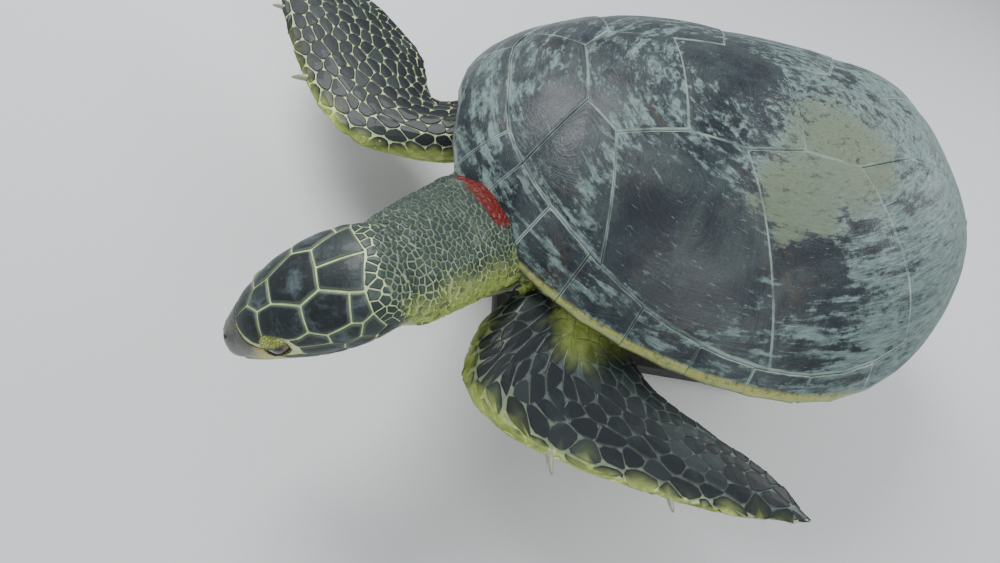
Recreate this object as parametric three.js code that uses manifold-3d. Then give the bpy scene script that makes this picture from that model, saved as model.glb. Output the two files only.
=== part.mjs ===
// Hawksbill sea turtle, life size, swimming, on a plain display stand.
// Millimetres, +Z up. The turtle faces -Y and its left side is +X.
// Every body shape is worked out about the middle of the shell, with z = 0 at the shell's rim,
// and the finished group is lifted so that the stand's underside rests on z = 0.

import * as THREE from 'three';
import { mergeVertices } from 'three/addons/utils/BufferGeometryUtils.js';
import Module from 'manifold-3d';

const wasm = await Module();
wasm.setup();

// ---------------------------------------------------------------- driving dimensions

const gap = 0.35;             // clearance between neighbouring solids
const seamWidth = 0.5;        // width of the thin cuts between plates

const shell = {
  length: 680,                // straight carapace length
  halfWidth: 274,             // at its widest
  widestAt: 0.55,             // fraction of the length, from the front
  dome: 129,                  // height of the ridge over the rim, less the rim's own edge
  edge: 13,                   // how far the rim stands up at the very front and rear
  highestFront: 0.45,         // the ridge is level between these two fractions
  highestRear: 0.72,
  rimRiseFront: 68,           // how strongly the rim curves up towards each end
  rimRiseRear: 108,
  thickness: 7,
  lip: 6,                     // thickness of the rim
  flankAt: 0.89,              // the body meets the shell's underside at this part of its width
  grid: [28, 22],             // facets round it and along it
};

const belly = {
  depth: 76,                  // below the rim, plates included
  plate: 7,
  sink: 3,                    // how far the flesh reaches into the plates before they are cut out
  grid: [20, 14],
};

const head = {
  scale: 1.08,                // all head sizes below are for a head of scale 1
  yaw: 22,                    // degrees to the left
  pitch: -26.7,
  roll: 4.1,
  place: new THREE.Vector3(238.1, -366.8, 55.5),
  eyeRadius: 12.5,
  eye: new THREE.Vector3(99, 24, 6),
  grid: [22, 16],
};

const stand = {
  clearance: 172,             // floor to the lowest plate of the belly
  base: { length: 430, width: 300, height: 20, corner: 60, bevel: 3 },
  rodRadius: 12,
  rodsAt: [-105, 120],
  padRadius: 26,
  padHeight: 6,
};

// ---------------------------------------------------------------- materials

const finish = (color, roughness, metalness = 0) =>
  new THREE.MeshStandardMaterial({ color, roughness, metalness });

const looks = {
  scute: finish(0x39444c, 0.55),
  plastron: finish(0xcfc28a, 0.55),
  flesh: finish(0x3c4a46, 0.6),
  beak: finish(0xa8a578, 0.4),
  claw: finish(0xb9c4b8, 0.4),
  eye: finish(0x11161c, 0.1),
  base: finish(0x2b2a29, 0.4),
  rod: finish(0xb9bcc0, 0.3, 1),
};

// ---------------------------------------------------------------- solids

const meshSolid = (vertProperties, triVerts) =>
  new wasm.Manifold(new wasm.Mesh({ numProp: 3, vertProperties, triVerts }));

// A closed geometry as a solid, turned right side out.
function solid(shape) {
  const bare = shape.index ? shape.clone() : shape;
  bare.deleteAttribute('normal');
  bare.deleteAttribute('uv');
  const merged = mergeVertices(bare, 1e-4);
  const points = Float32Array.from(merged.attributes.position.array);
  const triangles = Uint32Array.from(merged.index.array);
  const made = meshSolid(points, triangles);
  if (made.volume() > 0) return made;
  for (let i = 0; i < triangles.length; i += 3) {
    [triangles[i], triangles[i + 1]] = [triangles[i + 1], triangles[i]];
  }
  return meshSolid(points, triangles);
}

function geometryOf(made) {
  const mesh = made.getMesh();
  const shape = new THREE.BufferGeometry();
  shape.setAttribute('position', new THREE.BufferAttribute(mesh.vertProperties, 3));
  shape.setIndex(new THREE.BufferAttribute(mesh.triVerts, 1));
  shape.computeVertexNormals();
  return shape;
}

// The same solid with every face moved outwards by at least the distance.
function grown(made, distance = gap) {
  const shape = geometryOf(made);
  const { position, normal } = shape.attributes;
  const index = shape.index.array;
  const leastLean = 0.35;
  const lean = new Float32Array(position.count).fill(1);
  const face = new THREE.Triangle();
  const flat = new THREE.Vector3();
  const out = new THREE.Vector3();
  for (let i = 0; i < index.length; i += 3) {
    const ends = [index[i], index[i + 1], index[i + 2]];
    face.setFromAttributeAndIndices(position, ...ends);
    face.getNormal(flat);
    for (const end of ends) {
      out.fromBufferAttribute(normal, end);
      lean[end] = Math.min(lean[end], Math.max(leastLean, out.dot(flat)));
    }
  }
  const moved = position.array.map((value, i) => {
    const corner = Math.floor(i / 3);
    return value + (normal.array[i] * distance) / lean[corner];
  });
  return meshSolid(moved, index);
}

// A sphere pulled into shape: t runs from 0 to 1 between its poles, angle runs round it.
function pillow(place, [around, along]) {
  const shape = new THREE.SphereGeometry(1, around, along);
  const { position, uv } = shape.attributes;
  for (let i = 0; i < position.count; i++) {
    const t = (1 - Math.cos(Math.PI * (1 - uv.getY(i)))) / 2;
    const p = place(t, 2 * Math.PI * uv.getX(i));
    position.setXYZ(i, p.x, p.y, p.z);
  }
  return solid(shape);
}

// An upright prism over a plan outline.
function prism(points, low = -200, high = 300) {
  const outline = new THREE.Shape(points);
  const shape = new THREE.ExtrudeGeometry(outline, { depth: high - low, bevelEnabled: false });
  return solid(shape.translate(0, 0, low));
}

// A thin upright wall along a line in plan, for cutting seams.
function wall(points) {
  const half = seamWidth / 2;
  const pieces = points.slice(1).map((b, i) => {
    const a = points[i];
    const run = b.clone().sub(a).normalize().multiplyScalar(half);
    const side = new THREE.Vector2(-run.y, run.x);
    const from = a.clone().sub(run);
    const to = b.clone().add(run);
    return prism([
      from.clone().add(side),
      from.clone().sub(side),
      to.clone().sub(side),
      to.clone().add(side),
    ]);
  });
  return wasm.Manifold.union(pieces);
}

const largest = (made) => made.decompose().reduce((a, b) => (a.volume() > b.volume() ? a : b));

const group = new THREE.Group();

function add(name, made, material) {
  const node = new THREE.Mesh(geometryOf(made), material);
  node.name = name;
  group.add(node);
}

// Smooth values along a list, t from 0 to 1.
function smoothList(rows) {
  const curve = new THREE.CatmullRomCurve3(rows.map((r) => new THREE.Vector3(...r)));
  return (t) => curve.getPoint(THREE.MathUtils.clamp(t, 0, 1));
}

// 1 along the middle of a limb, falling to 0 in a round end at both poles.
const roundEnds = (t, power = 8) => (1 - Math.abs(2 * t - 1) ** power) ** (1 / power);

// ---------------------------------------------------------------- the shell's surface

const yAt = (s) => (s - 0.5) * shell.length;

// Half width in plan at fraction s of the length.
function halfWidth(s) {
  const { widestAt } = shell;
  if (s < widestAt) return shell.halfWidth * (1 - (1 - s / widestAt) ** 2) ** 0.48;
  return shell.halfWidth * (1 - ((s - widestAt) / (1 - widestAt)) ** 2) ** 0.78;
}

// Height of the ridge over the rim.
function ridge(s) {
  let rise = 1;
  if (s < shell.highestFront) rise = (1 - (1 - s / shell.highestFront) ** 2.2) ** 0.8;
  if (s > shell.highestRear) {
    rise = (1 - ((s - shell.highestRear) / (1 - shell.highestRear)) ** 1.6) ** 1.35;
  }
  return shell.edge + shell.dome * rise;
}

// The rim curves up towards both ends from its lowest place.
function rimHeight(s) {
  const lowest = 0.45;
  return (s < lowest ? shell.rimRiseFront : shell.rimRiseRear) * (s - lowest) ** 2;
}

// The shell's section across: 1 at the ridge, 0 at the rim, fuller towards the rear.
function arch(t, s) {
  const fullness = 2.14 + 0.5 * THREE.MathUtils.smoothstep(s, 0.4, 0.9);
  return Math.max(0, 1 - Math.abs(t) ** fullness) ** 0.9;
}

// The front edge over the neck is drawn in a little.
const neckNotch = (s, x) => 9 * Math.exp(-((x / 62) ** 2)) * Math.max(0, 1 - s / 0.12);

const outerHeight = (s, t) => rimHeight(s) + ridge(s) * arch(t, s);

function innerHeight(s, t) {
  const rise = ridge(s) - shell.thickness + shell.lip;
  return rimHeight(s) - shell.lip + Math.max(0, rise) * arch(t / 0.93, s);
}

const bellyHeight = (s, t) => {
  const depth = belly.depth * (1 - Math.abs((s - 0.48) / 0.56) ** 3.2) ** 0.7;
  return rimHeight(s) * 0.3 - 6 - (depth - 6) * Math.max(0, 1 - Math.abs(t) ** 3) ** 0.8;
};

const carapace = pillow((t, angle) => {
  const s = THREE.MathUtils.lerp(0.0005, 0.9995, t);
  const across = Math.cos(angle);
  const outside = Math.sin(angle) >= -1e-9;
  const atPole = t === 0 || t === 1;
  const x = atPole ? 0 : across * halfWidth(s);
  const y = yAt(s) + neckNotch(s, x);
  if (atPole) return new THREE.Vector3(x, y, (outerHeight(s, 0) + innerHeight(s, 0)) / 2);
  return new THREE.Vector3(x, y, outside ? outerHeight(s, across) : innerHeight(s, across));
}, shell.grid);

// The body inside the shell, which reaches a little way into the plates.
const body = pillow((t, angle) => {
  const s = THREE.MathUtils.lerp(0.035, 0.965, t);
  const across = Math.cos(angle);
  const end = roundEnds(t, 10);
  const x = across * halfWidth(s) * shell.flankAt * end;
  const top = innerHeight(s, across * shell.flankAt) + belly.sink;
  const under = bellyHeight(s, across) + belly.sink;
  const middle = (innerHeight(s, 0) + bellyHeight(s, 0)) / 2;
  const height = Math.sin(angle) >= -1e-9 ? top : Math.min(under, top - 1);
  return new THREE.Vector3(x, yAt(s), THREE.MathUtils.lerp(middle, height, end));
}, belly.grid);

const aroundCarapace = grown(carapace);
const aroundBody = grown(body);

// ---------------------------------------------------------------- shell plates

// The rim in plan, on the left side, as a curve measured by its own length.
const rimPoints = Array.from({ length: 121 }, (_, i) => {
  const s = (1 - Math.cos((Math.PI * i) / 120)) / 2;
  const x = halfWidth(s);
  return new THREE.Vector2(x, yAt(s) + neckNotch(s, x));
});
const rim = new THREE.SplineCurve(rimPoints);
rim.arcLengthDivisions = 800;

// Fractions of the rim's length at which the marginal plates part.
const marginalSeams = [0.082, 0.136, 0.200, 0.270, 0.350, 0.425, 0.492, 0.560, 0.645, 0.735, 0.825, 0.920];

// Width of the marginal band, in plan.
const bandWidths = [44, 44, 38, 24, 18, 20, 28, 36, 40];
const band = smoothList(bandWidths.map((v) => [v, 0, 0]));

function rimInward(u, distance) {
  const p = rim.getPointAt(u);
  const along = rim.getTangentAt(u);
  return p.add(new THREE.Vector2(-along.y, along.x).multiplyScalar(distance));
}

const bandPoint = (u) => {
  const p = rimInward(u, band(u).x);
  return new THREE.Vector2(Math.max(0, p.x), p.y);
};
const mirrored = (p) => new THREE.Vector2(-p.x, p.y);
const plan = (s, half) => new THREE.Vector2(half * shell.length, yAt(s));

// Corners of the five vertebral plates, as fractions of the shell: where, and how far out.
const corners = {
  first: [0.182, 0.060],
  secondSide: [0.223, 0.112],
  second: [0.322, 0.103],
  thirdSide: [0.411, 0.114],
  third: [0.508, 0.094],
  fourthSide: [0.600, 0.102],
  fourth: [0.692, 0.066],
  fifthSide: [0.775, 0.088],
};
const corner = (name) => plan(...corners[name]);

// Rim fractions that the costal seams, and the first and last vertebral plates, run out to.
const seamFoot = { first: 0.286, second: 0.508, third: 0.690, frontPlate: 0.135, rearPlate: 0.885 };

// The band's inner line bends only where another seam meets it, or halfway between two.
const bandMeets = [0, ...marginalSeams, ...Object.values(seamFoot), 1].sort((a, b) => a - b);
const bandStops = bandMeets.flatMap((u, i) => {
  const before = i ? bandMeets[i - 1] : u;
  return u - before > 0.05 ? [(u + before) / 2, u] : [u];
});
const beyondRim = 30;

const halfSeams = [
  bandStops.map(bandPoint),
  [bandPoint(seamFoot.frontPlate), corner('first'), corner('secondSide'), corner('second'),
    corner('thirdSide'), corner('third'), corner('fourthSide'), corner('fourth'),
    corner('fifthSide'), bandPoint(seamFoot.rearPlate)],
  [corner('secondSide'), bandPoint(seamFoot.first)],
  [corner('thirdSide'), bandPoint(seamFoot.second)],
  [corner('fourthSide'), bandPoint(seamFoot.third)],
  ...marginalSeams.map((u) => [bandPoint(u), rimInward(u, -beyondRim)]),
];
const crossSeams = ['first', 'second', 'third', 'fourth'].map((n) => [corner(n), mirrored(corner(n))]);
const supracaudalSeam = [[new THREE.Vector2(0, bandPoint(1).y), new THREE.Vector2(0, yAt(1) + beyondRim)]];

const seams = [
  ...halfSeams,
  ...halfSeams.map((line) => line.map(mirrored)),
  ...crossSeams,
  ...supracaudalSeam,
];

// Plan centres that name the plates.
const marginals = Array.from({ length: 11 }, (_, i) => `marginal_${i + 1}`);
const rimNames = ['nuchal', ...marginals, 'supracaudal'];
const seamEnds = [0, ...marginalSeams, 1];
const labels = [['nuchal', new THREE.Vector2(0, yAt(0.04))]];
for (const [side, sign] of [['left', 1], ['right', -1]]) {
  for (let i = 1; i < rimNames.length; i++) {
    const u = (seamEnds[i] + seamEnds[i + 1]) / 2;
    const p = rimInward(u, band(u).x / 2);
    labels.push([`${rimNames[i]}_${side}`, new THREE.Vector2(sign * p.x, p.y)]);
  }
  const { frontPlate, first, second, third, rearPlate } = seamFoot;
  const feet = [frontPlate, first, second, third, rearPlate];
  ['first', 'second', 'third', 'fourth'].forEach((inner, i) => {
    const out = bandPoint((feet[i] + feet[i + 1]) / 2);
    const p = corner(inner).add(out).multiplyScalar(0.5);
    labels.push([`costal_${i + 1}_${side}`, new THREE.Vector2(sign * p.x, p.y)]);
  });
}
const vertebralMiddles = [0.12, 0.245, 0.415, 0.6, 0.82];
vertebralMiddles.forEach((s, i) => labels.push([`vertebral_${i + 1}`, plan(s, 0)]));

// Each piece of the cut shell goes to the name whose place is nearest.
function addPlates(cutShell) {
  const found = cutShell.decompose().map((piece) => {
    const box = piece.boundingBox();
    const middle = new THREE.Vector2((box.min[0] + box.max[0]) / 2, (box.min[1] + box.max[1]) / 2);
    return { piece, middle };
  });
  if (found.length !== labels.length) throw new Error(`${found.length} shell plates, ${labels.length} names`);
  for (const [name, point] of labels) {
    const near = (a, b) => (a.middle.distanceTo(point) < b.middle.distanceTo(point) ? a : b);
    const best = found.reduce(near);
    add(name, best.piece, looks.scute);
    found.splice(found.indexOf(best), 1);
  }
}

const seamWalls = wasm.Manifold.union(seams.map((line) => wall(line)));
addPlates(carapace.subtract(seamWalls));

// ---------------------------------------------------------------- plastron

// A thin plate under the whole belly, with a bridge out to the rim on each side.
const bellyPlate = pillow((t, angle) => {
  const s = THREE.MathUtils.lerp(0.035, 0.965, t);
  const across = Math.cos(angle);
  const atPole = t === 0 || t === 1;
  const x = atPole ? 0 : across * halfWidth(s) * (shell.flankAt + 0.004);
  const under = bellyHeight(s, atPole ? 0 : across);
  const outside = Math.sin(angle) < -1e-9;
  return new THREE.Vector3(x, yAt(s), under + (atPole ? belly.plate / 2 : outside ? 0 : belly.plate));
}, belly.grid);

const plastronHalf = [[0.12, 0.03], [0.125, 0.085], [0.16, 0.135], [0.22, 0.165], [0.28, 0.19],
  [0.33, 0.25], [0.36, 0.325], [0.42, 0.36], [0.56, 0.365], [0.62, 0.335], [0.65, 0.25], [0.7, 0.185],
  [0.78, 0.155], [0.85, 0.12], [0.895, 0.065], [0.9, 0.02]];
const plastronEdge = [
  ...plastronHalf.map(([s, half]) => plan(s, half)),
  ...plastronHalf.map(([s, half]) => mirrored(plan(s, half))).reverse(),
];
const plastronPrism = prism(plastronEdge, -200, 60);
const plastron = largest(bellyPlate.intersect(plastronPrism).subtract(aroundCarapace));
const aroundBellyPlate = grown(bellyPlate);
const aroundPlastron = aroundBellyPlate.intersect(grown(plastronPrism));
add('plastron', plastron, looks.plastron);

// What is cut out of the soft parts: all that is hard or lies before them.
const cutBy = (made, ...others) => largest(others.reduce((left, other) => left.subtract(other), made));
add('trunk', cutBy(body, aroundCarapace, aroundPlastron), looks.flesh);

// ---------------------------------------------------------------- head

const rad = THREE.MathUtils.degToRad;
const forward = new THREE.Vector3(
  Math.sin(rad(head.yaw)) * Math.cos(rad(head.pitch)),
  -Math.cos(rad(head.yaw)) * Math.cos(rad(head.pitch)),
  Math.sin(rad(head.pitch)),
);
const left = new THREE.Vector3(Math.cos(rad(head.yaw)), Math.sin(rad(head.yaw)), 0)
  .applyAxisAngle(forward, rad(head.roll));
const up = forward.clone().cross(left);
const headFrame = new THREE.Matrix4()
  .makeBasis(forward, left, up)
  .scale(new THREE.Vector3(head.scale, head.scale, head.scale))
  .setPosition(head.place);
const onHead = (u, v, w) => new THREE.Vector3(u, v, w).applyMatrix4(headFrame);

// Sections from the back of the skull to the tip of the beak: how far along, half width and top,
// then how far along, bottom and how high the widest line lies.
const headRows = smoothList([[-14, 22, 22], [0, 37, 33], [20, 43, 38.5], [42, 45, 39.5], [64, 43.5, 38.5],
  [84, 39.5, 35], [102, 33, 29.5], [118, 26, 22], [132, 20, 13], [144, 15, 4], [151, 9.5, -8]]);
const jawRows = smoothList([[-14, -24, 2], [0, -37, 2], [20, -45, 2], [42, -48, 2], [64, -48, 2],
  [84, -46, 1], [102, -44, -2], [118, -41, -8], [132, -38, -16], [144, -35, -22], [151, -32, -23]]);

const wholeHead = pillow((t, angle) => {
  const ring = THREE.MathUtils.lerp(0.02, 1, t);
  const row = headRows(ring);
  const jaw = jawRows(ring);
  const end = roundEnds(t, 6);
  const c = Math.cos(angle);
  const k = Math.sin(angle);
  const [square, flat] = k > 0 ? [0.76, 0.84] : [THREE.MathUtils.lerp(1.05, 0.8, t ** 3), 0.96];
  const wide = Math.sign(c) * Math.abs(c) ** square * row.y * end;
  const reach = k > 0 ? row.z - jaw.z : jaw.y - jaw.z;
  return onHead(row.x, wide, jaw.z + reach * Math.abs(k) ** flat * end);
}, head.grid);

// A thin cut through the head along a line given as (along, up) pairs.
function headCut(points) {
  const half = seamWidth / head.scale / 2;
  const side = (sign) => points.map(([u, w], i) => {
    const [pu, pw] = points[Math.max(0, i - 1)];
    const [nu, nw] = points[Math.min(points.length - 1, i + 1)];
    const run = new THREE.Vector2(nu - pu, nw - pw).normalize();
    return new THREE.Vector2(u - sign * run.y * half, w + sign * run.x * half);
  });
  const outline = new THREE.Shape([...side(1), ...side(-1).reverse()]);
  const shape = new THREE.ExtrudeGeometry(outline, { depth: 140, bevelEnabled: false });
  shape.translate(0, 0, -70);
  shape.applyMatrix4(new THREE.Matrix4().makeBasis(
    new THREE.Vector3(1, 0, 0), new THREE.Vector3(0, 0, 1), new THREE.Vector3(0, -1, 0),
  ));
  return solid(shape.applyMatrix4(headFrame));
}

const mouth = [[84, -19], [100, -19.5], [114, -18.5], [128, -18], [139, -21], [152, -27]];
const upperBeakEdge = [[103, -19.4], [106, -8], [113, 2], [122, 10], [128, 24]];
const lowerBeakEdge = [[100, -19.6], [99, -30], [97, -60]];

function ball(centre, radius) {
  const shape = new THREE.SphereGeometry(radius, 12, 8);
  return solid(shape.translate(centre.x, centre.y, centre.z));
}

const eyes = [['left', 1], ['right', -1]].map(([side, sign]) => {
  const centre = onHead(head.eye.x, sign * head.eye.y, head.eye.z);
  return { side, centre };
});
const eyeHoles = wasm.Manifold.union(eyes.map((e) => ball(e.centre, head.eyeRadius + gap)));

const headPieces = wholeHead
  .subtract(eyeHoles)
  .subtract(headCut(mouth))
  .subtract(headCut(upperBeakEdge))
  .subtract(headCut(lowerBeakEdge))
  .decompose()
  .sort((a, b) => b.volume() - a.volume());
const [skull, beakA, beakB] = headPieces;
const lowerOf = (a, b) => (a.boundingBox().min[2] < b.boundingBox().min[2] ? [a, b] : [b, a]);
const [beakLower, beakUpper] = lowerOf(beakA, beakB);
add('head', skull, looks.flesh);
add('beak_upper', beakUpper, looks.beak);
add('beak_lower', beakLower, looks.beak);
for (const e of eyes) add(`eye_${e.side}`, ball(e.centre, head.eyeRadius), looks.eye);

// ---------------------------------------------------------------- neck

const neckLine = smoothList([[60, -200, -34], [98, -248, -31], [130, -287, -19], [165, -319, -1],
  [200, -345, 18], [228, -364, 34], [250, -380, 43]]);
const neckGirth = smoothList([[80, 46, 0], [78, 52, 0], [72, 55, 0], [64, 52, 0], [58, 49, 0],
  [54, 46, 0], [47, 42, 0]]);

function alongLine(line, t) {
  const step = 0.01;
  return line(Math.min(1, t + step)).sub(line(Math.max(0, t - step))).normalize();
}

const wholeNeck = pillow((t, angle) => {
  const run = alongLine(neckLine, t);
  const side = run.clone().cross(new THREE.Vector3(0, 0, 1)).normalize();
  const high = side.clone().cross(run);
  const girth = neckGirth(t);
  const end = roundEnds(t, 8);
  return neckLine(t)
    .addScaledVector(side, Math.cos(angle) * girth.x * end)
    .addScaledVector(high, Math.sin(angle) * girth.y * end);
}, [16, 10]);

const aroundNeck = grown(wholeNeck);
add('neck', cutBy(wholeNeck, grown(wholeHead), aroundBody, aroundCarapace, aroundPlastron), looks.flesh);

// ---------------------------------------------------------------- flippers

// A flipper from its leading and trailing edge lines; thick gives its thickness along it.
function flipperSolid({ lead, trail, thick, camber, grid }) {
  const leadLine = smoothList(lead);
  const trailLine = smoothList(trail);
  const thickness = smoothList(thick.map((v) => [v, 0, 0]));
  return pillow((t, angle) => {
    const a = leadLine(t);
    const b = trailLine(t);
    const middle = a.clone().add(b).multiplyScalar(0.5);
    const chord = a.clone().sub(b);
    const half = chord.length() / 2;
    chord.normalize();
    const run = alongLine(leadLine, t).add(alongLine(trailLine, t)).normalize();
    const normal = run.clone().cross(chord).normalize();
    if (normal.z < 0) normal.negate();
    const end = roundEnds(t, 9);
    const c = Math.cos(angle);
    const bulk = (thickness(t).x / 2) * (1 + 0.35 * c) * (1 - 0.25 * c * c);
    const bend = camber * (1 - c * c) * half * 0.1;
    return middle
      .addScaledVector(chord, c * half * end)
      .addScaledVector(normal, (Math.sin(angle) * bulk + bend) * end);
  }, grid);
}

const mirrorRows = (rows) => rows.map(([x, y, z]) => [-x, y, z]);

const flippers = {
  front_left: {
    lead: [[172, -205, -40], [196, -250, -44], [222, -272, -46], [256, -284, -49], [292, -285, -50],
      [322, -254, -50], [346, -206, -49], [366, -126, -45], [384, -28, -35], [387, 60, -24]],
    trail: [[165, -140, -36], [178, -152, -37], [190, -150, -38], [200, -140, -38], [212, -128, -38],
      [232, -112, -37], [262, -92, -36], [300, -38, -33], [340, 30, -28], [382, 64, -24]],
    thick: [56, 50, 42, 34, 28, 23, 19, 15, 11, 7],
    camber: 0.5,
    grid: [12, 18],
  },
  front_right: {
    lead: [[-60, -250, -66], [-20, -300, -76], [-12, -345, -84], [-14, -395, -88], [-18, -443, -88],
      [-46, -478, -87], [-92, -513, -85], [-168, -552, -80], [-262, -586, -70], [-336, -578, -60]],
    trail: [[-150, -240, -56], [-125, -290, -62], [-104, -330, -68], [-106, -352, -72], [-135, -362, -75],
      [-170, -368, -76], [-205, -385, -76], [-248, -425, -74], [-300, -500, -68], [-338, -570, -60]],
    thick: [56, 50, 42, 34, 28, 23, 19, 15, 11, 7],
    camber: 0.5,
    grid: [12, 18],
  },
};

const rearLead = [[112, 188, -34], [131, 212, -38], [136, 242, -41], [127, 276, -43], [111, 306, -44],
  [93, 332, -43], [70, 350, -42]];
const rearTrail = [[54, 206, -36], [52, 234, -39], [47, 262, -41], [42, 288, -43], [42, 314, -44],
  [48, 338, -43], [64, 350, -42]];
const rearThick = [44, 36, 28, 21, 15, 10, 7];
const rearShape = { thick: rearThick, camber: 0.4, grid: [10, 10] };
flippers.rear_left = { lead: rearLead, trail: rearTrail, ...rearShape };
flippers.rear_right = { lead: mirrorRows(rearLead), trail: mirrorRows(rearTrail), ...rearShape };

// A curved claw that grows from the leading edge at place, pointing along direction.
function clawSolid(place, direction, length, radius) {
  const run = direction.clone().normalize();
  const side = run.clone().cross(new THREE.Vector3(0, 0, 1)).normalize();
  const down = run.clone().cross(side).normalize();
  if (down.z > 0) down.negate();
  return pillow((t, angle) => {
    const girth = radius * Math.sqrt(Math.max(0, 1 - t ** 1.4)) * Math.min(1, Math.sqrt(t * 12));
    return place.clone()
      .addScaledVector(run, length * (t - 0.25))
      .addScaledVector(down, length * 0.28 * t * t + Math.sin(angle) * girth)
      .addScaledVector(side, Math.cos(angle) * girth * 0.8);
  }, [6, 5]);
}

// Claws stand on the leading edge: how far along it, length and radius.
const frontClaws = [[0.68, 19, 5.5], [0.83, 14, 4.4]];
const rearClaws = [[0.66, 17, 5], [0.82, 12, 4]];

function clawsOf(key, list, outward) {
  const line = smoothList(flippers[key].lead);
  return list.map(([t, length, radius]) => {
    const run = alongLine(line, t);
    const out = outward(run);
    return clawSolid(line(t).addScaledVector(out, 1), run.clone().add(out), length, radius);
  });
}

// Level, at right angles to the leading edge and away from the flipper.
const outwards = (sign) => (run) => new THREE.Vector3(-run.y, run.x, 0).normalize().multiplyScalar(sign);

for (const key of Object.keys(flippers)) {
  const blade = flipperSolid(flippers[key]);
  const front = key.startsWith('front');
  const claws = clawsOf(key, front ? frontClaws : rearClaws, outwards(key.endsWith('left') ? -1 : 1));
  const made = front ? blade : wasm.Manifold.union([blade, ...claws]);
  const hard = [aroundBody, aroundCarapace, aroundPlastron, aroundNeck];
  add(`flipper_${key}`, cutBy(made, ...hard), looks.flesh);
  if (front) {
    claws.forEach((claw, i) => add(`claw_${key}_${i + 1}`, cutBy(claw, grown(blade)), looks.claw));
  }
}

// ---------------------------------------------------------------- tail

const tailLine = smoothList([[0, 268, -22], [0, 308, -26], [0, 344, -32], [0, 374, -38], [0, 392, -42]]);
const tailGirth = smoothList([[34, 24, 0], [27, 19, 0], [18, 14, 0], [10, 8, 0], [4, 3.5, 0]]);
const wholeTail = pillow((t, angle) => {
  const girth = tailGirth(t);
  const end = roundEnds(t, 8);
  const across = Math.cos(angle) * girth.x * end;
  const high = Math.sin(angle) * girth.y * end;
  return tailLine(t).add(new THREE.Vector3(across, 0, high));
}, [10, 6]);
add('tail', cutBy(wholeTail, aroundBody, aroundCarapace, aroundPlastron), looks.flesh);

// ---------------------------------------------------------------- display stand

const plastronBox = plastron.boundingBox();
const floor = plastronBox.min[2] - stand.clearance;

function roundedPlate({ length, width, height, corner: round, bevel }) {
  const x = width / 2 - bevel;
  const y = length / 2 - bevel;
  const r = round - bevel;
  const outline = new THREE.Shape();
  outline.moveTo(-x + r, -y);
  outline.lineTo(x - r, -y);
  outline.absarc(x - r, -y + r, r, -Math.PI / 2, 0);
  outline.lineTo(x, y - r);
  outline.absarc(x - r, y - r, r, 0, Math.PI / 2);
  outline.lineTo(-x + r, y);
  outline.absarc(-x + r, y - r, r, Math.PI / 2, Math.PI);
  outline.lineTo(-x, -y + r);
  outline.absarc(-x + r, -y + r, r, Math.PI, 1.5 * Math.PI);
  const shape = new THREE.ExtrudeGeometry(outline, {
    depth: height - 2 * bevel, bevelThickness: bevel, bevelSize: bevel, bevelSegments: 1, curveSegments: 6,
  });
  return shape.translate(0, 0, floor + bevel);
}

add('stand_base', solid(roundedPlate(stand.base)), looks.base);

stand.rodsAt.forEach((y, i) => {
  const bottom = floor + stand.base.height + gap;
  const top = bellyHeight(y / shell.length + 0.5, 0) + 12;
  const profile = [
    [0, bottom],
    [stand.padRadius, bottom],
    [stand.padRadius, bottom + stand.padHeight],
    [stand.rodRadius, bottom + stand.padHeight + 4],
    [stand.rodRadius, top - 26],
    [stand.padRadius, top - 14],
    [stand.padRadius, top],
    [0, top],
  ].map(([r, z]) => new THREE.Vector2(r, z));
  const rod = new THREE.LatheGeometry(profile, 20).rotateX(Math.PI / 2).scale(1, -1, 1);
  const upright = solid(rod.translate(0, y, 0));
  add(['stand_rod_front', 'stand_rod_rear'][i], cutBy(upright, aroundBellyPlate), looks.rod);
});

// ---------------------------------------------------------------- onto the floor

group.updateMatrixWorld(true);
const box = new THREE.Box3().setFromObject(group);
group.position.set(-(box.min.x + box.max.x) / 2, -(box.min.y + box.max.y) / 2, -box.min.z);
group.updateMatrixWorld(true);

export default group;
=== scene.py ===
import math
import random

import bmesh
import bpy
from mathutils import Matrix, Vector, noise
from mathutils.bvhtree import BVHTree
from mathutils.kdtree import KDTree


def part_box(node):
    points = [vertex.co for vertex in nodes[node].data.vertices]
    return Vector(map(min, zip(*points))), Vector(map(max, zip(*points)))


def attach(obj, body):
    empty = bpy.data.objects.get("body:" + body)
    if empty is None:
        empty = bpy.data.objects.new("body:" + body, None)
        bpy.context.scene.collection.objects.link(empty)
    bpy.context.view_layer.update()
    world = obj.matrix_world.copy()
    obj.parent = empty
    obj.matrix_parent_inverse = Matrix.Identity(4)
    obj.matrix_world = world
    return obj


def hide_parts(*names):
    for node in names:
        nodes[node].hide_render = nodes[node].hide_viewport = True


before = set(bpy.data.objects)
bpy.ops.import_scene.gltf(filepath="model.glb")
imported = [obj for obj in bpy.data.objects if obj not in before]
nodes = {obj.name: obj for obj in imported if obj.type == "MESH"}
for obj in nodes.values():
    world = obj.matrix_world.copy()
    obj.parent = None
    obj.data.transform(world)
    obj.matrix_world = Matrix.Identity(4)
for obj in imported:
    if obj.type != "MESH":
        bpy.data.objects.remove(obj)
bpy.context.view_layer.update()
print("frame loaded:", len(nodes), "solids")

# The animal's own axes in millimetres: x to its left, y to its tail, z up, from the middle of the rim.
middle = Vector((-0.02452, 0.09642, 0.24792))


def at(x, y, z):
    return middle + Vector((x, y, z)) * 0.001


def own(point):
    return (point - middle) * 1000


def smoothStep(value, low, high):
    part = min(1, max(0, (value - low) / (high - low)))
    return part * part * (3 - 2 * part)


def mix(a, b, part):
    return a + (b - a) * part


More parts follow.
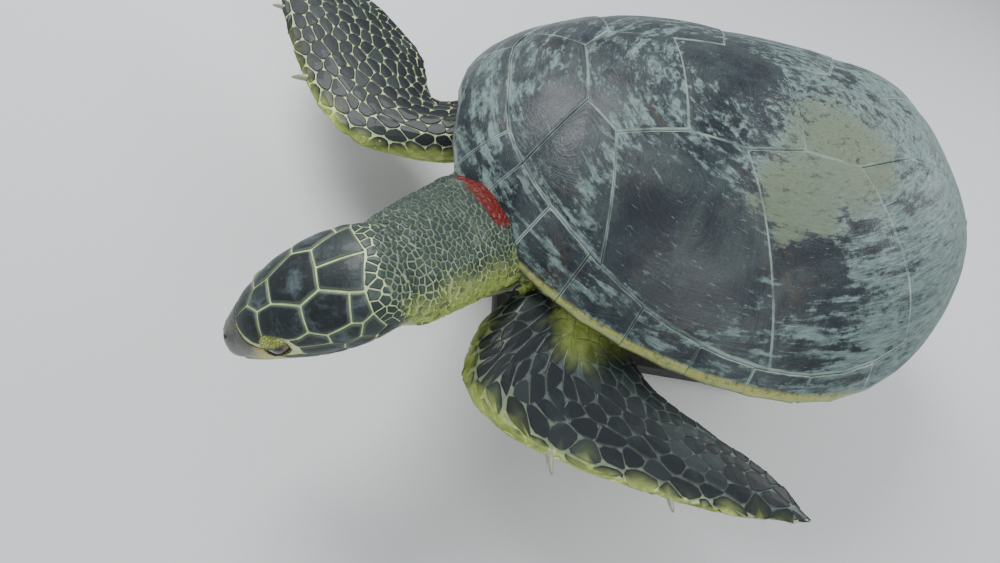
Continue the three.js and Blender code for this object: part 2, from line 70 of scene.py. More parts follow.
# A smooth line through a few places, with t from 0 to 1.
def smoothLine(places):
    points = [Vector(p) for p in places]

    def line(t):
        spotAt = min(len(points) - 1.0001, max(0, t * (len(points) - 1)))
        i = int(spotAt)
        part = spotAt - i
        a, b = points[i], points[i + 1]
        before = points[i - 1] if i else a * 2 - b
        after = points[i + 2] if i + 2 < len(points) else b * 2 - a
        straight = a * 2 + (b - before) * part
        bend = (before * 2 - a * 5 + b * 4 - after) * part ** 2
        return (straight + bend + (a * 3 - before - b * 3 + after) * part ** 3) * 0.5

    return line


# Nodes for materials


def addNode(tree, kind, inputs=None, **fields):
    made = tree.nodes.new(kind)
    for name, value in fields.items():
        setattr(made, name, value)
    for name, value in (inputs or {}).items():
        if isinstance(value, bpy.types.NodeSocket):
            tree.links.new(value, made.inputs[name])
        else:
            made.inputs[name].default_value = value
    return made


def colour(r, g, b):
    return (r, g, b, 1)


def objectPlace(tree):
    return addNode(tree, "ShaderNodeTexCoord").outputs["Object"]


def attribute(tree, name):
    return addNode(tree, "ShaderNodeAttribute", attribute_name=name).outputs["Fac"]


def noiseOn(tree, place, scale, detail=4, roughness=0.6, distortion=0):
    made = addNode(tree, "ShaderNodeTexNoise", {
        "Vector": place, "Scale": scale, "Detail": detail, "Roughness": roughness, "Distortion": distortion,
    })
    return made.outputs["Fac"]


def maths(tree, operation, a, b=0.0, clamp=False):
    made = addNode(tree, "ShaderNodeMath", {0: a, 1: b}, operation=operation, use_clamp=clamp)
    return made.outputs[0]


def vectorMaths(tree, operation, *values):
    made = addNode(tree, "ShaderNodeVectorMath", dict(enumerate(values)), operation=operation)
    return made.outputs["Value" if operation in ("DISTANCE", "LENGTH", "DOT_PRODUCT") else "Vector"]


def combined(tree, x, y, z=0.0):
    return addNode(tree, "ShaderNodeCombineXYZ", {"X": x, "Y": y, "Z": z}).outputs[0]


def ranged(tree, value, low, high, toLow=0.0, toHigh=1.0):
    made = addNode(tree, "ShaderNodeMapRange", {
        "Value": value, "From Min": low, "From Max": high, "To Min": toLow, "To Max": toHigh,
    }, interpolation_type="SMOOTHSTEP")
    return made.outputs["Result"]


def blended(tree, part, a, b):
    made = addNode(tree, "ShaderNodeMix", {"Factor": part}, data_type="RGBA")
    for socket, value in ((made.inputs[6], a), (made.inputs[7], b)):
        if isinstance(value, bpy.types.NodeSocket):
            tree.links.new(value, socket)
        else:
            socket.default_value = value
    return made.outputs[2]


# Two colours, mixed by how far a pattern is from low to high.
def mottled(tree, pattern, low, high, first, second):
    return blended(tree, ranged(tree, pattern, low, high), colour(*first), colour(*second))


def newGroup(name, ins, outs):
    group = bpy.data.node_groups.new(name, "ShaderNodeTree")
    for label, kind, value in ins:
        socket = group.interface.new_socket(label, in_out="INPUT", socket_type=kind)
        if value is not None:
            socket.default_value = value
    for label, kind in outs:
        group.interface.new_socket(label, in_out="OUTPUT", socket_type=kind)
    start = group.nodes.new("NodeGroupInput")
    end = group.nodes.new("NodeGroupOutput")
    return group, start.outputs, end.inputs


def useGroup(tree, group, inputs):
    made = tree.nodes.new("ShaderNodeGroup")
    made.node_tree = group
    for name, value in inputs.items():
        if isinstance(value, bpy.types.NodeSocket):
            tree.links.new(value, made.inputs[name])
        else:
            made.inputs[name].default_value = value
    return made.outputs


def newMaterial(name, values):
    material = bpy.data.materials.new(name)
    material.use_nodes = True
    tree = material.node_tree
    surface = tree.nodes["Principled BSDF"]
    for label, value in values.items():
        surface.inputs[label].default_value = value
    return material, tree, surface


# A soft round marking with a ragged edge.
def makeSpotGroup():
    group, ins, outs = newGroup(
        "softSpot",
        [("Place", "NodeSocketVector", None), ("Centre", "NodeSocketVector", None),
         ("Radius", "NodeSocketFloat", 0.05), ("Ragged", "NodeSocketFloat", 0.4),
         ("Grain", "NodeSocketFloat", 30.0)],
        [("Mask", "NodeSocketFloat")],
    )
    away = vectorMaths(group, "DISTANCE", ins["Place"], ins["Centre"])
    share = maths(group, "DIVIDE", away, ins["Radius"])
    grain = maths(group, "SUBTRACT", noiseOn(group, ins["Place"], ins["Grain"], 5, 0.7), 0.5)
    ragged = maths(group, "MULTIPLY", grain, ins["Ragged"])
    moved = maths(group, "ADD", share, maths(group, "MULTIPLY", ragged, 2.0))
    group.links.new(ranged(group, moved, 1.15, 0.55), outs["Mask"])
    return group


# Fine silt that lies in patches on a surface, and the small stains under it.
def makeSiltGroup():
    group, ins, outs = newGroup(
        "silt",
        [("Place", "NodeSocketVector", None), ("Colour", "NodeSocketColor", colour(0.1, 0.1, 0.1)),
         ("Silt", "NodeSocketColor", colour(0.3, 0.35, 0.3)), ("Amount", "NodeSocketFloat", 0.4),
         ("Patch", "NodeSocketFloat", 12.0), ("Stain", "NodeSocketFloat", 0.4)],
        [("Colour", "NodeSocketColor"), ("Mask", "NodeSocketFloat")],
    )
    wide = noiseOn(group, ins["Place"], ins["Patch"], 6, 0.65, 0.6)
    fine = noiseOn(group, ins["Place"], 420, 3, 0.7)
    dust = ranged(group, maths(group, "ADD", wide, maths(group, "MULTIPLY", fine, 0.35)), 0.55, 0.9)
    mask = maths(group, "MULTIPLY", dust, ins["Amount"], True)
    dusted = blended(group, mask, ins["Colour"], ins["Silt"])
    spots = addNode(group, "ShaderNodeTexVoronoi", {"Vector": ins["Place"], "Scale": 55.0, "Randomness": 1.0})
    dark = ranged(group, spots.outputs["Distance"], 0.2, 0.06)
    few = ranged(group, noiseOn(group, ins["Place"], 9, 3), 0.55, 0.7)
    stained = maths(group, "MULTIPLY", maths(group, "MULTIPLY", dark, few), ins["Stain"], True)
    group.links.new(blended(group, stained, dusted, colour(0.018, 0.024, 0.022)), outs["Colour"])
    group.links.new(mask, outs["Mask"])
    return group


spotGroup = makeSpotGroup()
siltGroup = makeSiltGroup()


def spot(tree, place, centre, radius, ragged=0.4, grain=30.0):
    mask = useGroup(tree, spotGroup, {
        "Place": place, "Centre": centre, "Radius": radius, "Ragged": ragged, "Grain": grain,
    })
    return mask["Mask"]


def bumped(tree, surface, height, strength, distance):
    bump = addNode(tree, "ShaderNodeBump", {"Height": height, "Strength": strength, "Distance": distance})
    tree.links.new(bump.outputs["Normal"], surface.inputs["Normal"])


# Pieces


def finishPiece(name, mesh, material, replaced, smooth=True):
    piece = bpy.data.objects.new(name, mesh)
    bpy.context.scene.collection.objects.link(piece)
    mesh.materials.clear()
    mesh.materials.append(material)
    mesh.polygons.foreach_set("use_smooth", [smooth] * len(mesh.polygons))
    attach(piece, "root")
    if replaced:
        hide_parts(*replaced)
    return piece


def meshOf(bm, name):
    mesh = bpy.data.meshes.new(name)
    bm.to_mesh(mesh)
    bm.free()
    return mesh


# A merged copy of a solid's mesh, with its surface moved outwards by grow.
def solidCopy(name, grow=0.0):
    bm = bmesh.new()
    bm.from_mesh(nodes[name].data)
    bmesh.ops.remove_doubles(bm, verts=bm.verts[:], dist=0.00002)
    bm.normal_update()
    if grow:
        for vert in bm.verts:
            vert.co += vert.normal * grow
    return bm


def allOf(bm):
    return bm.verts[:] + bm.edges[:] + bm.faces[:]


def relax(bm, verts, rounds=1):
    for _ in range(rounds):
        bmesh.ops.smooth_vert(
            bm, verts=verts, factor=0.5, use_axis_x=True, use_axis_y=True, use_axis_z=True)


def joinInto(target, source):
    held = meshOf(source, "held")
    target.from_mesh(held)
    bpy.data.meshes.remove(held)


def edgeDistance(point, outline):
    best = 1e9
    for i, a in enumerate(outline):
        b = outline[i - 1]
        run = b - a
        part = min(1, max(0, (point - a).dot(run) / max(run.length_squared, 1e-12)))
        best = min(best, (point - a - run * part).length_squared)
    return math.sqrt(best)


# A plate from its flat outline: rounded at its edge, cut into a grid, lifted onto its surface by
# place(x, y, height) and given a wall below. measure() fills the layers its material reads.
def plateFrom(outline, place, look, measure=None):
    bm = bmesh.new()
    face = bm.faces.new([bm.verts.new((x, y, 0)) for x, y in outline])
    face.normal_update()
    if face.normal.z < 0:
        face.normal_flip()
    if look.get("corner"):
        bmesh.ops.bevel(bm, geom=bm.verts[:], offset=look["corner"], offset_type="OFFSET", segments=2,
                        profile=0.5, affect="VERTICES", material=-1, clamp_overlap=True)
    if look.get("gap"):
        bmesh.ops.inset_individual(bm, faces=bm.faces[:], thickness=look["gap"], use_even_offset=False)
        inner = max(bm.faces, key=lambda f: f.calc_area())
        bmesh.ops.delete(bm, geom=[f for f in bm.faces if f is not inner], context="FACES")
    inner = max(bm.faces, key=lambda f: f.calc_area())
    rim = [v.co.xy for v in inner.verts]
    for share in (0.25, 0.75):
        bmesh.ops.inset_individual(bm, faces=[inner], thickness=look["round"] * share, use_even_offset=False)
        inner = max(bm.faces, key=lambda f: f.calc_area())
    for axis in (0, 1):
        low = min(p[axis] for p in rim)
        high = max(p[axis] for p in rim)
        cuts = int((high - low) / look["step"])
        normal = (1, 0, 0) if axis == 0 else (0, 1, 0)
        for i in range(1, cuts + 1):
            spotAt = low + (high - low) * i / (cuts + 1)
            bmesh.ops.bisect_plane(bm, geom=allOf(bm), dist=look["step"] * 0.02, plane_no=normal,
                                   plane_co=(spotAt, 0, 0) if axis == 0 else (0, spotAt, 0))
    bmesh.ops.remove_doubles(bm, verts=bm.verts[:], dist=look["step"] * 0.08)
    layers = {key: bm.verts.layers.float.new(key) for key in ("rim", "growth", "lip", "tone")}
    heights = {}
    for vert in bm.verts:
        flat = vert.co.xy
        inside = edgeDistance(flat, rim)
        values = measure(flat, inside) if measure else {}
        vert[layers["rim"]] = inside * 0.1
        vert[layers["tone"]] = look["tone"]
        for key in ("growth", "lip"):
            vert[layers[key]] = values.get(key, 0)
        drop = max(0, look["round"] - inside) / look["round"]
        fall = look["round"] * look["fall"] * (1 - math.sqrt(1 - drop * drop))
        heights[vert] = values.get("lift", 0) - fall
    made = bmesh.ops.extrude_face_region(bm, geom=bm.faces[:], use_keep_orig=True)["geom"]
    tops = {g for g in made if isinstance(g, bmesh.types.BMVert)}
    positions = {}
    for vert in bm.verts:
        if vert not in tops:
            positions[(round(vert.co.x, 5), round(vert.co.y, 5))] = heights.get(vert, 0)
    for vert in bm.verts:
        x, y = vert.co.xy
        height = positions[(round(x, 5), round(y, 5))]
        vert.co = place(x, y, height if vert in tops else height * 0.3 - look["thick"])
    bmesh.ops.recalc_face_normals(bm, faces=bm.faces[:])
    return bm


# Shell plates

shell = {
    "length": 680, "half": 274, "dome": 129, "rim": 13, "widestAt": 0.55, "notch": 9, "notchWidth": 62,
    "step": 4.2, "round": 2.0, "thick": 5.2, "fall": 0.8, "rearLift": 2.6, "pillow": 1.6, "wave": 0.9,
}


# 0 at the shell's front edge and 1 at its rear.
def alongShell(y):
    return (y + shell["length"] / 2) / shell["length"]


def shellHalf(s):
    widest = shell["widestAt"]
    if s < widest:
        return shell["half"] * max(0, 1 - (1 - s / widest) ** 2) ** 0.48
    return shell["half"] * max(0, 1 - ((s - widest) / 0.45) ** 2) ** 0.78


# How far the rim curves up towards the shell's two ends.
def rimRise(s):
    return (68 if s < 0.45 else 108) * (s - 0.45) ** 2


def shellTop(x, y):
    s = alongShell(y)
    for _ in range(3):
        notch = shell["notch"] * math.exp(-(x / shell["notchWidth"]) ** 2) * max(0, 1 - s / 0.12)
        s = alongShell(y - notch)
    s = min(1, max(0, s))
    rise = 1
    if s < 0.45:
        rise = max(0, 1 - (1 - s / 0.45) ** 2.2) ** 0.8
    if s > 0.72:
        rise = max(0, 1 - ((s - 0.72) / 0.28) ** 1.6) ** 1.35
    ridge = shell["rim"] + shell["dome"] * rise
    across = min(1, abs(x) / max(1, shellHalf(s)))
    arch = max(0, 1 - across ** (2.14 + 0.5 * smoothStep(s, 0.4, 0.9))) ** 0.9
    return rimRise(s) + ridge * arch


# 0 on the ridge and 1 on the rim.
def shellRing(flat):
    s = min(1, max(0, alongShell(flat.y)))
    return min(1, max(abs(flat.x) / max(1, shellHalf(s)), abs(s * 2 - 1)))


# The longest border round the faces of a solid that lie on one side, in plan and in millimetres.
def borderOf(name, isOuter):
    bm = solidCopy(name)
    outer = {f for f in bm.faces if isOuter(f.normal.z)}
    edges = [e for e in bm.edges if sum(f in outer for f in e.link_faces) == 1]
    loops = []
    left = set(edges)
    for edge in edges:
        if edge not in left:
            continue
        left.discard(edge)
        loop = [edge.verts[0], edge.verts[1]]
        while True:
            following = [e for e in loop[-1].link_edges if e in left]
            if not following:
                break
            left.discard(following[0])
            loop.append(following[0].other_vert(loop[-1]))
        loops.append([own(v.co).xy for v in loop[:-1]])
    bm.free()
    return max(loops, key=lambda points: sum((a - b).length for a, b in zip(points, points[1:])))


def plateOutline(name):
    outline = []
    for point in borderOf(name, lambda z: z > 0.08):
        if not outline or (point - outline[-1]).length > 0.8:
            outline.append(point)
    if (outline[0] - outline[-1]).length < 0.8:
        outline.pop()
    return outline


def shellPlate(name, material):
    outline = plateOutline(name)
    xs = [p.x for p in outline]
    ys = [p.y for p in outline]
    low, high = min(ys), max(ys)
    centre = Vector((sum(xs) / len(xs), sum(ys) / len(ys)))
    side = 1 if centre.x > 0 else -1
    inward = 0 if name.startswith(("vertebral", "nuchal")) else -side * (max(xs) - min(xs)) * 0.3
    root = Vector((centre.x + inward, mix(low, high, 0.3)))
    marginal = name.startswith(("marginal", "supracaudal", "nuchal"))
    tone = random.random()

    def measure(flat, inside):
        away = flat - root
        share = away.length / (away.length + inside + 1)
        rear = (flat.y - low) / (high - low)
        lift = shell["pillow"] * smoothStep(inside, 0, 30) * (0.4 if marginal else 1)
        lift += shell["rearLift"] * (rear - 0.35) * (0.5 if marginal else 1)
        lift += shell["wave"] * noise.noise(Vector((flat.x, flat.y, tone * 90)) * 0.02)
        return {"growth": share * 3 + away.length * 0.004, "lift": lift, "lip": shellRing(flat)}

    def place(x, y, height):
        return at(x, y, shellTop(x, y) + height)

    bm = plateFrom(outline, place, dict(shell, tone=tone), measure)
    finishPiece(name.replace("_", "-") + "-plate", meshOf(bm, name), material, [name])


shellMarks = {
    "dark": [((168, -112, 85), 0.088), ((178, 22, 92), 0.042),
             ((-40, -60, 140), 0.06), ((60, -235, 95), 0.05)],
    "olive": ((122, -8, 122), 0.058),
    "sand": ((60, 40, 142), 0.075),
    "middle": (0, 0, 60), "oval": (3.65, 2.94, 0),  # the scrapes run round this place, along this oval
}


def makeShellMaterial():
    material, tree, surface = newMaterial("shellHorn", {
        "Specular IOR Level": 0.36, "Coat Weight": 0.08, "Coat Roughness": 0.3,
    })
    place = objectPlace(tree)
    growth, tone, rim, lip = (attribute(tree, key) for key in ("growth", "tone", "rim", "lip"))
    away = vectorMaths(tree, "SUBTRACT", place, at(*shellMarks["middle"]))
    flat = vectorMaths(tree, "MULTIPLY", away, shellMarks["oval"])
    ring = maths(tree, "MULTIPLY", vectorMaths(tree, "LENGTH", flat), 34.0)
    turn = addNode(tree, "ShaderNodeSeparateXYZ", {0: vectorMaths(tree, "NORMALIZE", flat)}).outputs
    sweep = [maths(tree, "MULTIPLY", part, 5.0) for part in (turn[0], turn[1])]
    around = combined(tree, *sweep, ring)
    streaks = noiseOn(tree, around, 1.0, 8, 0.68, 0.5)
    scratches = noiseOn(tree, around, 3.4, 5, 0.7, 0.3)
    grown = combined(tree, maths(tree, "MULTIPLY", growth, 16.0), maths(tree, "MULTIPLY", tone, 40.0))
    rings = noiseOn(tree, grown, 1.4, 4, 0.6)
    cloud = noiseOn(tree, place, 13, 6, 0.68, 0.8)
    grit = noiseOn(tree, place, 150, 5, 0.75)
    horn = mottled(tree, cloud, 0.38, 0.66, (0.005, 0.009, 0.016), (0.016, 0.027, 0.034))
    amber = ranged(tree, noiseOn(tree, place, 21, 4, 0.6, 1.2), 0.56, 0.7, 0, 0.5)
    horn = blended(tree, amber, horn, colour(0.05, 0.033, 0.016))
    horn = blended(tree, ranged(tree, rings, 0.52, 0.68, 0, 0.4), horn, colour(0.04, 0.055, 0.056))
    rear = ranged(tree, addNode(tree, "ShaderNodeSeparateXYZ", {0: away}).outputs[1], 0.0, 0.2)
    amount = maths(tree, "ADD", maths(tree, "MULTIPLY", rear, 0.105), maths(tree, "MULTIPLY", cloud, 0.24))
    for centre, radius in shellMarks["dark"]:
        dusk = spot(tree, place, at(*centre), radius, 0.55, 30)
        amount = maths(tree, "SUBTRACT", amount, maths(tree, "MULTIPLY", dusk, 0.12))
    olive, sand = shellMarks["olive"], shellMarks["sand"]
    film = maths(tree, "MAXIMUM", spot(tree, place, at(*olive[0]), olive[1], 0.7, 34),
                 spot(tree, place, at(*sand[0]), sand[1], 0.7, 24))
    amount = maths(tree, "ADD", amount, maths(tree, "MULTIPLY", film, 0.1))
    dust = maths(tree, "ADD", maths(tree, "MULTIPLY", streaks, 0.72), maths(tree, "MULTIPLY", grit, 0.28))
    mask = ranged(tree, maths(tree, "ADD", dust, amount), 0.6, 0.7)
    silt = mottled(tree, scratches, 0.35, 0.65, (0.085, 0.135, 0.13), (0.21, 0.29, 0.275))
    silt = blended(tree, maths(tree, "MULTIPLY", film, 0.8), silt, colour(0.135, 0.165, 0.09))
    base = blended(tree, maths(tree, "MULTIPLY", mask, 0.86), horn, silt)
    thin = ranged(tree, scratches, 0.6, 0.68, 0, 0.5)
    base = blended(tree, thin, base, colour(0.17, 0.24, 0.24))
    dark = ranged(tree, scratches, 0.4, 0.33, 0, 0.75)
    base = blended(tree, dark, base, colour(0.008, 0.012, 0.016))
    silted = useGroup(tree, siltGroup, {
        "Place": place, "Colour": base, "Silt": colour(0.13, 0.17, 0.16), "Amount": 0.25,
        "Patch": 16.0, "Stain": 0.5,
    })
    worn = maths(tree, "ADD", rim, maths(tree, "MULTIPLY", grit, 0.16))
    seam = ranged(tree, worn, 0.27, 0.15, 0, 0.85)
    kept = ranged(tree, noiseOn(tree, place, 16, 4, 0.6), 0.4, 0.6, 0.3, 1.0)
    seam = maths(tree, "MULTIPLY", seam, kept)
    final = blended(tree, seam, silted["Colour"], colour(0.34, 0.43, 0.39))
    edge = maths(tree, "MULTIPLY", ranged(tree, lip, 0.975, 0.99), ranged(tree, grit, 0.35, 0.55, 0.3, 0.85))
    edge = maths(tree, "MULTIPLY", edge, ranged(tree, rear, 0.75, 0.35))
    final = blended(tree, edge, final, colour(0.42, 0.44, 0.11))
    tree.links.new(final, surface.inputs["Base Color"])
    rough = maths(tree, "ADD", maths(tree, "MULTIPLY", mask, 0.32), 0.38)
    tree.links.new(rough, surface.inputs["Roughness"])
    height = maths(tree, "ADD", maths(tree, "MULTIPLY", scratches, 0.7), maths(tree, "MULTIPLY", rings, 0.7))
    height = maths(tree, "ADD", height, maths(tree, "MULTIPLY", mask, 0.25))
    height = maths(tree, "ADD", height, maths(tree, "MULTIPLY", grit, 0.2))
    bumped(tree, surface, height, 0.6, 0.0014)
    return material


random.seed(7)
shellMaterial = makeShellMaterial()
plateKinds = ("nuchal", "vertebral", "costal", "marginal", "supracaudal")
plateNames = sorted(name for name in nodes if name.startswith(plateKinds))
for plateName in plateNames:
    shellPlate(plateName, shellMaterial)
print("shell plates:", len(plateNames))

# The head's own axes: u forward, v to its left, w up, in millimetres before its scale

headPose = {"place": (238.1, -366.8, 55.5), "yaw": 22, "pitch": -26.7, "roll": 4.1, "scale": 1.08}


def makeHeadFrame():
    yaw, pitch, roll = (math.radians(headPose[k]) for k in ("yaw", "pitch", "roll"))
    forward = Vector((math.sin(yaw) * math.cos(pitch), -math.cos(yaw) * math.cos(pitch), math.sin(pitch)))
    left = Matrix.Rotation(roll, 3, forward) @ Vector((math.cos(yaw), math.sin(yaw), 0))
    up = forward.cross(left)
    turn = Matrix((forward, left, up)).transposed().to_4x4()
    return Matrix.Translation(at(*headPose["place"])) @ turn @ Matrix.Scale(headPose["scale"] * 0.001, 4)


headFrame = makeHeadFrame()
headBack = headFrame.inverted()


def onHead(u, v, w):
    return headFrame @ Vector((u, v, w))


def headDirection(u, v, w):
    return (onHead(u, v, w) - onHead(0, 0, 0)).normalized()


# The head and the first part of the neck.
def isNearHead(point):
    local = headBack @ point
    return local.x > -6 and local.length < 190


# The lines that the neck and the flippers follow

neckLine = smoothLine([(60, -200, -34), (98, -248, -31), (130, -287, -19), (165, -319, -1),
                       (200, -345, 18), (228, -364, 34), (250, -380, 43)])
flipperLines = {
    "frontLeft": (
        [(172, -205, -40), (196, -250, -44), (222, -272, -46), (256, -284, -49), (292, -285, -50),
         (322, -254, -50), (346, -206, -49), (366, -126, -45), (384, -28, -35), (387, 60, -24)],
        [(165, -140, -36), (178, -152, -37), (190, -150, -38), (200, -140, -38), (212, -128, -38),
         (232, -112, -37), (262, -92, -36), (300, -38, -33), (340, 30, -28), (382, 64, -24)]),
    "frontRight": (
        [(-60, -250, -66), (-20, -300, -76), (-12, -345, -84), (-14, -395, -88), (-18, -443, -88),
         (-46, -478, -87), (-92, -513, -85), (-168, -552, -80), (-262, -586, -70), (-336, -578, -60)],
        [(-150, -240, -56), (-125, -290, -62), (-104, -330, -68), (-106, -352, -72), (-135, -362, -75),
         (-170, -368, -76), (-205, -385, -76), (-248, -425, -74), (-300, -500, -68), (-338, -570, -60)]),
    "rearLeft": (
        [(112, 188, -34), (131, 212, -38), (136, 242, -41), (127, 276, -43), (111, 306, -44),
         (93, 332, -43), (70, 350, -42)],
        [(54, 206, -36), (52, 234, -39), (47, 262, -41), (42, 288, -43), (42, 314, -44),
         (48, 338, -43), (64, 350, -42)]),
}
flipperLines["rearRight"] = tuple([(-x, y, z) for x, y, z in line] for line in flipperLines["rearLeft"])


# For a place on the body: which limb it is on, how far along (t) and across it (c), and the two directions.
def makeCharts():
    charts = {}
    for key, (lead, trail) in flipperLines.items():
        leadLine, trailLine = smoothLine(lead), smoothLine(trail)
        steps, across = 90, 24
        entries = []
        for i in range(steps + 1):
            t = i / steps
            a, b = leadLine(t), trailLine(t)
            ahead = leadLine(min(1, t + 0.02)) - leadLine(max(0, t - 0.02))
            behind = trailLine(min(1, t + 0.02)) - trailLine(max(0, t - 0.02))
            for j in range(across + 1):
                c = 1 - 2 * j / across
                spotOn = a.lerp(b, (1 - c) / 2)
                run = behind.lerp(ahead, (1 + c) / 2).normalized()
                entries.append((spotOn, t, c, run, (a - b).normalized()))
        tree = KDTree(len(entries))
        for i, entry in enumerate(entries):
            tree.insert(entry[0], i)
        tree.balance()
        charts[key] = (tree, entries)
    return charts


limbCharts = makeCharts()


def onLimb(spotOn):
    best = None
    for key, (tree, entries) in limbCharts.items():
        _, index, away = tree.find(spotOn)
        if best is None or away < best[1]:
            best = (key, away, entries[index])
    return best


limbRoot = 0.075  # a flipper's own scales begin at this part of its length
limbReach = {"front": 36, "rear": 22}  # how far from a flipper's middle surface its own skin lies


# The part of the body that a place is on, the place in that part's terms, and its entry in a limb's chart.
# The bounds of the parts are in millimetres, in the head's own axes or the animal's.
def bodyPart(point):
    local = headBack @ point
    spotOn = own(point)
    if local.x > 6 and abs(local.y) < 50 and -60 < local.z < 50:
        return "head", local, None
    key, away, entry = onLimb(spotOn)
    pair = "rear" if key.startswith("rear") else "front"
    s = alongShell(spotOn.y)
    if 0 < s < 1 and abs(spotOn.x) < shellHalf(s) * 0.93 and pair == "front":
        inward = abs(spotOn.x) / max(1, shellHalf(s))
        if inward < 0.6 and spotOn.y > -262:
            return "body", spotOn, None
    if away < limbReach[pair] and entry[1] > limbRoot:
        return key, spotOn, entry
    if spotOn.x > 20 and spotOn.y < -190 and spotOn.z > -95:
        return "neck", spotOn, None
    if abs(spotOn.x) < 45 and spotOn.y > 230:
        return "tail", spotOn, None
    return "body", spotOn, None


# Skin

skinLook = {
    "voxel": 0.0033, "grow": 0.0006, "finGrow": 0.002, "depth": 0.0009, "foldDepth": 2.3,
    "smooth": 4, "rimSmooth": 5, "rearSmooth": 8, "headSmooth": 6,
    "hiddenReach": 0.014, "hiddenThinned": 0.92,
}
eyeLook = {"u": 99, "v": 23.6, "w": 6, "radius": 12.0, "lid": 1.6, "tilt": 6, "bulge": 0.9}
fleshNames = ["head", "neck", "trunk", "tail"]
fleshNames += [f"flipper_{pair}_{side}" for pair in ("front", "rear") for side in ("left", "right")]
nostril = {"place": Vector((141, 5.6, 4)), "radius": 2.6, "depth": 2.6, "lip": 0.6}
mouthLine = [(84, -19), (100, -19.5), (114, -18.5), (128, -18), (139, -21), (152, -27)]
upperBeakLine = [(103, -19.4), (106, -8), (113, 2), (122, 10), (128, 24)]
lowerBeakLine = [(100, -19.6), (99, -30), (97, -60)]
neckSteps = 40
neckSpots = [neckLine(i / neckSteps) for i in range(neckSteps + 1)]
neckFolds = {"length": 250, "pitch": 0.11, "across": 0.018, "deep": 2.2, "stand": 0.5}


# How far along its line the neck is nearest to a place, and where.
def neckNearest(spotOn):
    index = min(range(neckSteps + 1), key=lambda i: (neckSpots[i] - spotOn).length_squared)
    return index / neckSteps, neckSpots[index]


def alongLine(line, u):
    for (u0, w0), (u1, w1) in zip(line, line[1:]):
        if u <= u1:
            return mix(w0, w1, (u - u0) / (u1 - u0))
    return line[-1][1]


# How far in front of a line that runs up the head a place lies.
def inFrontOf(line, u, w):
    points = sorted((w0, u0) for u0, w0 in line)
    if w <= points[0][0]:
        return u - points[0][1]
    for (w0, u0), (w1, u1) in zip(points, points[1:]):
        if w <= w1:
            return u - mix(u0, u1, (w - w0) / (w1 - w0))
    return u - points[-1][1]


# The vertices of each separate part of a mesh.
def partsOf(bm):
    left = set(bm.verts)
    parts = []
    for start in bm.verts:
        if start not in left:
            continue
        left.discard(start)
        part = [start]
        for vert in part:
            for edge in vert.link_edges:
                other = edge.other_vert(vert)
                if other in left:
                    left.discard(other)
                    part.append(other)
        parts.append(part)
    return parts


def biggestPart(bm):
    parts = sorted(partsOf(bm), key=len)
    rest = [v for part in parts[:-1] for v in part]
    bmesh.ops.delete(bm, geom=rest, context="VERTS")


# The flesh that lies behind plates is thinned, as it isn't seen.
def thinHidden(bm):
    plates = bmesh.new()
    for name in plateNames + ["plastron"]:
        joinInto(plates, solidCopy(name))
    cover = BVHTree.FromBMesh(plates)
    plates.free()
    bm.normal_update()
    reach = skinLook["hiddenReach"]
    hidden = [v.index for v in bm.verts if cover.ray_cast(v.co, v.normal, reach)[0] is not None]
    held = bpy.data.objects.new("held", meshOf(bm, "held"))
    bpy.context.scene.collection.objects.link(held)
    group = held.vertex_groups.new(name="hidden")
    group.add(hidden, 1.0, "REPLACE")
    total = len(held.data.vertices)
    thin = held.modifiers.new("thin", "DECIMATE")
    thin.ratio = (total - len(hidden) * skinLook["hiddenThinned"]) / total
    thin.vertex_group = "hidden"
    thin.vertex_group_factor = 10
    thinned = bpy.data.meshes.new_from_object(held.evaluated_get(bpy.context.evaluated_depsgraph_get()))
    bpy.data.objects.remove(held)
    bm = bmesh.new()
    bm.from_mesh(thinned)
    bpy.data.meshes.remove(thinned)
    return bm


def makeFleshBody():
    bm = bmesh.new()
    for name in fleshNames + ["beak_upper", "beak_lower"]:
        joinInto(bm, solidCopy(name, skinLook["finGrow" if name.startswith("flipper") else "grow"]))
    held = bpy.data.objects.new("held", meshOf(bm, "held"))
    bpy.context.scene.collection.objects.link(held)
    remesh = held.modifiers.new("remesh", "REMESH")
    remesh.mode = "VOXEL"
    remesh.voxel_size = skinLook["voxel"]
    graph = bpy.context.evaluated_depsgraph_get()
    merged = bpy.data.meshes.new_from_object(held.evaluated_get(graph))
    bpy.data.objects.remove(held)
    bm = bmesh.new()
    bm.from_mesh(merged)
    bpy.data.meshes.remove(merged)
    biggestPart(bm)
    relax(bm, bm.verts[:], skinLook["smooth"])
    sharp = {v for e in bm.edges if e.calc_face_angle(0) > 0.6 for v in e.verts}
    sharp |= {e.other_vert(v) for v in sharp for e in v.link_edges}
    rearSharp = [v for v in sharp if own(v.co).y > 150]
    relax(bm, list(sharp), skinLook["rimSmooth"])
    relax(bm, rearSharp, skinLook["rearSmooth"])
    bm = thinHidden(bm)
    headVerts = {v for v in bm.verts if isNearHead(v.co)}
    edges = [e for e in bm.edges if e.verts[0] in headVerts and e.verts[1] in headVerts]
    bmesh.ops.subdivide_edges(bm, edges=edges, cuts=1, use_grid_fill=True)
    relax(bm, [v for v in bm.verts if isNearHead(v.co)], skinLook["headSmooth"])
    bm.normal_update()
    return bm


headShape = {
    "narrow": 0.16, "hookForward": 3.2, "hookDown": 4.2, "chinBack": 3.0,
    "slitFrom": 82, "slitHalf": 3, "slitDepth": 2.2, "socket": 1.2,
}


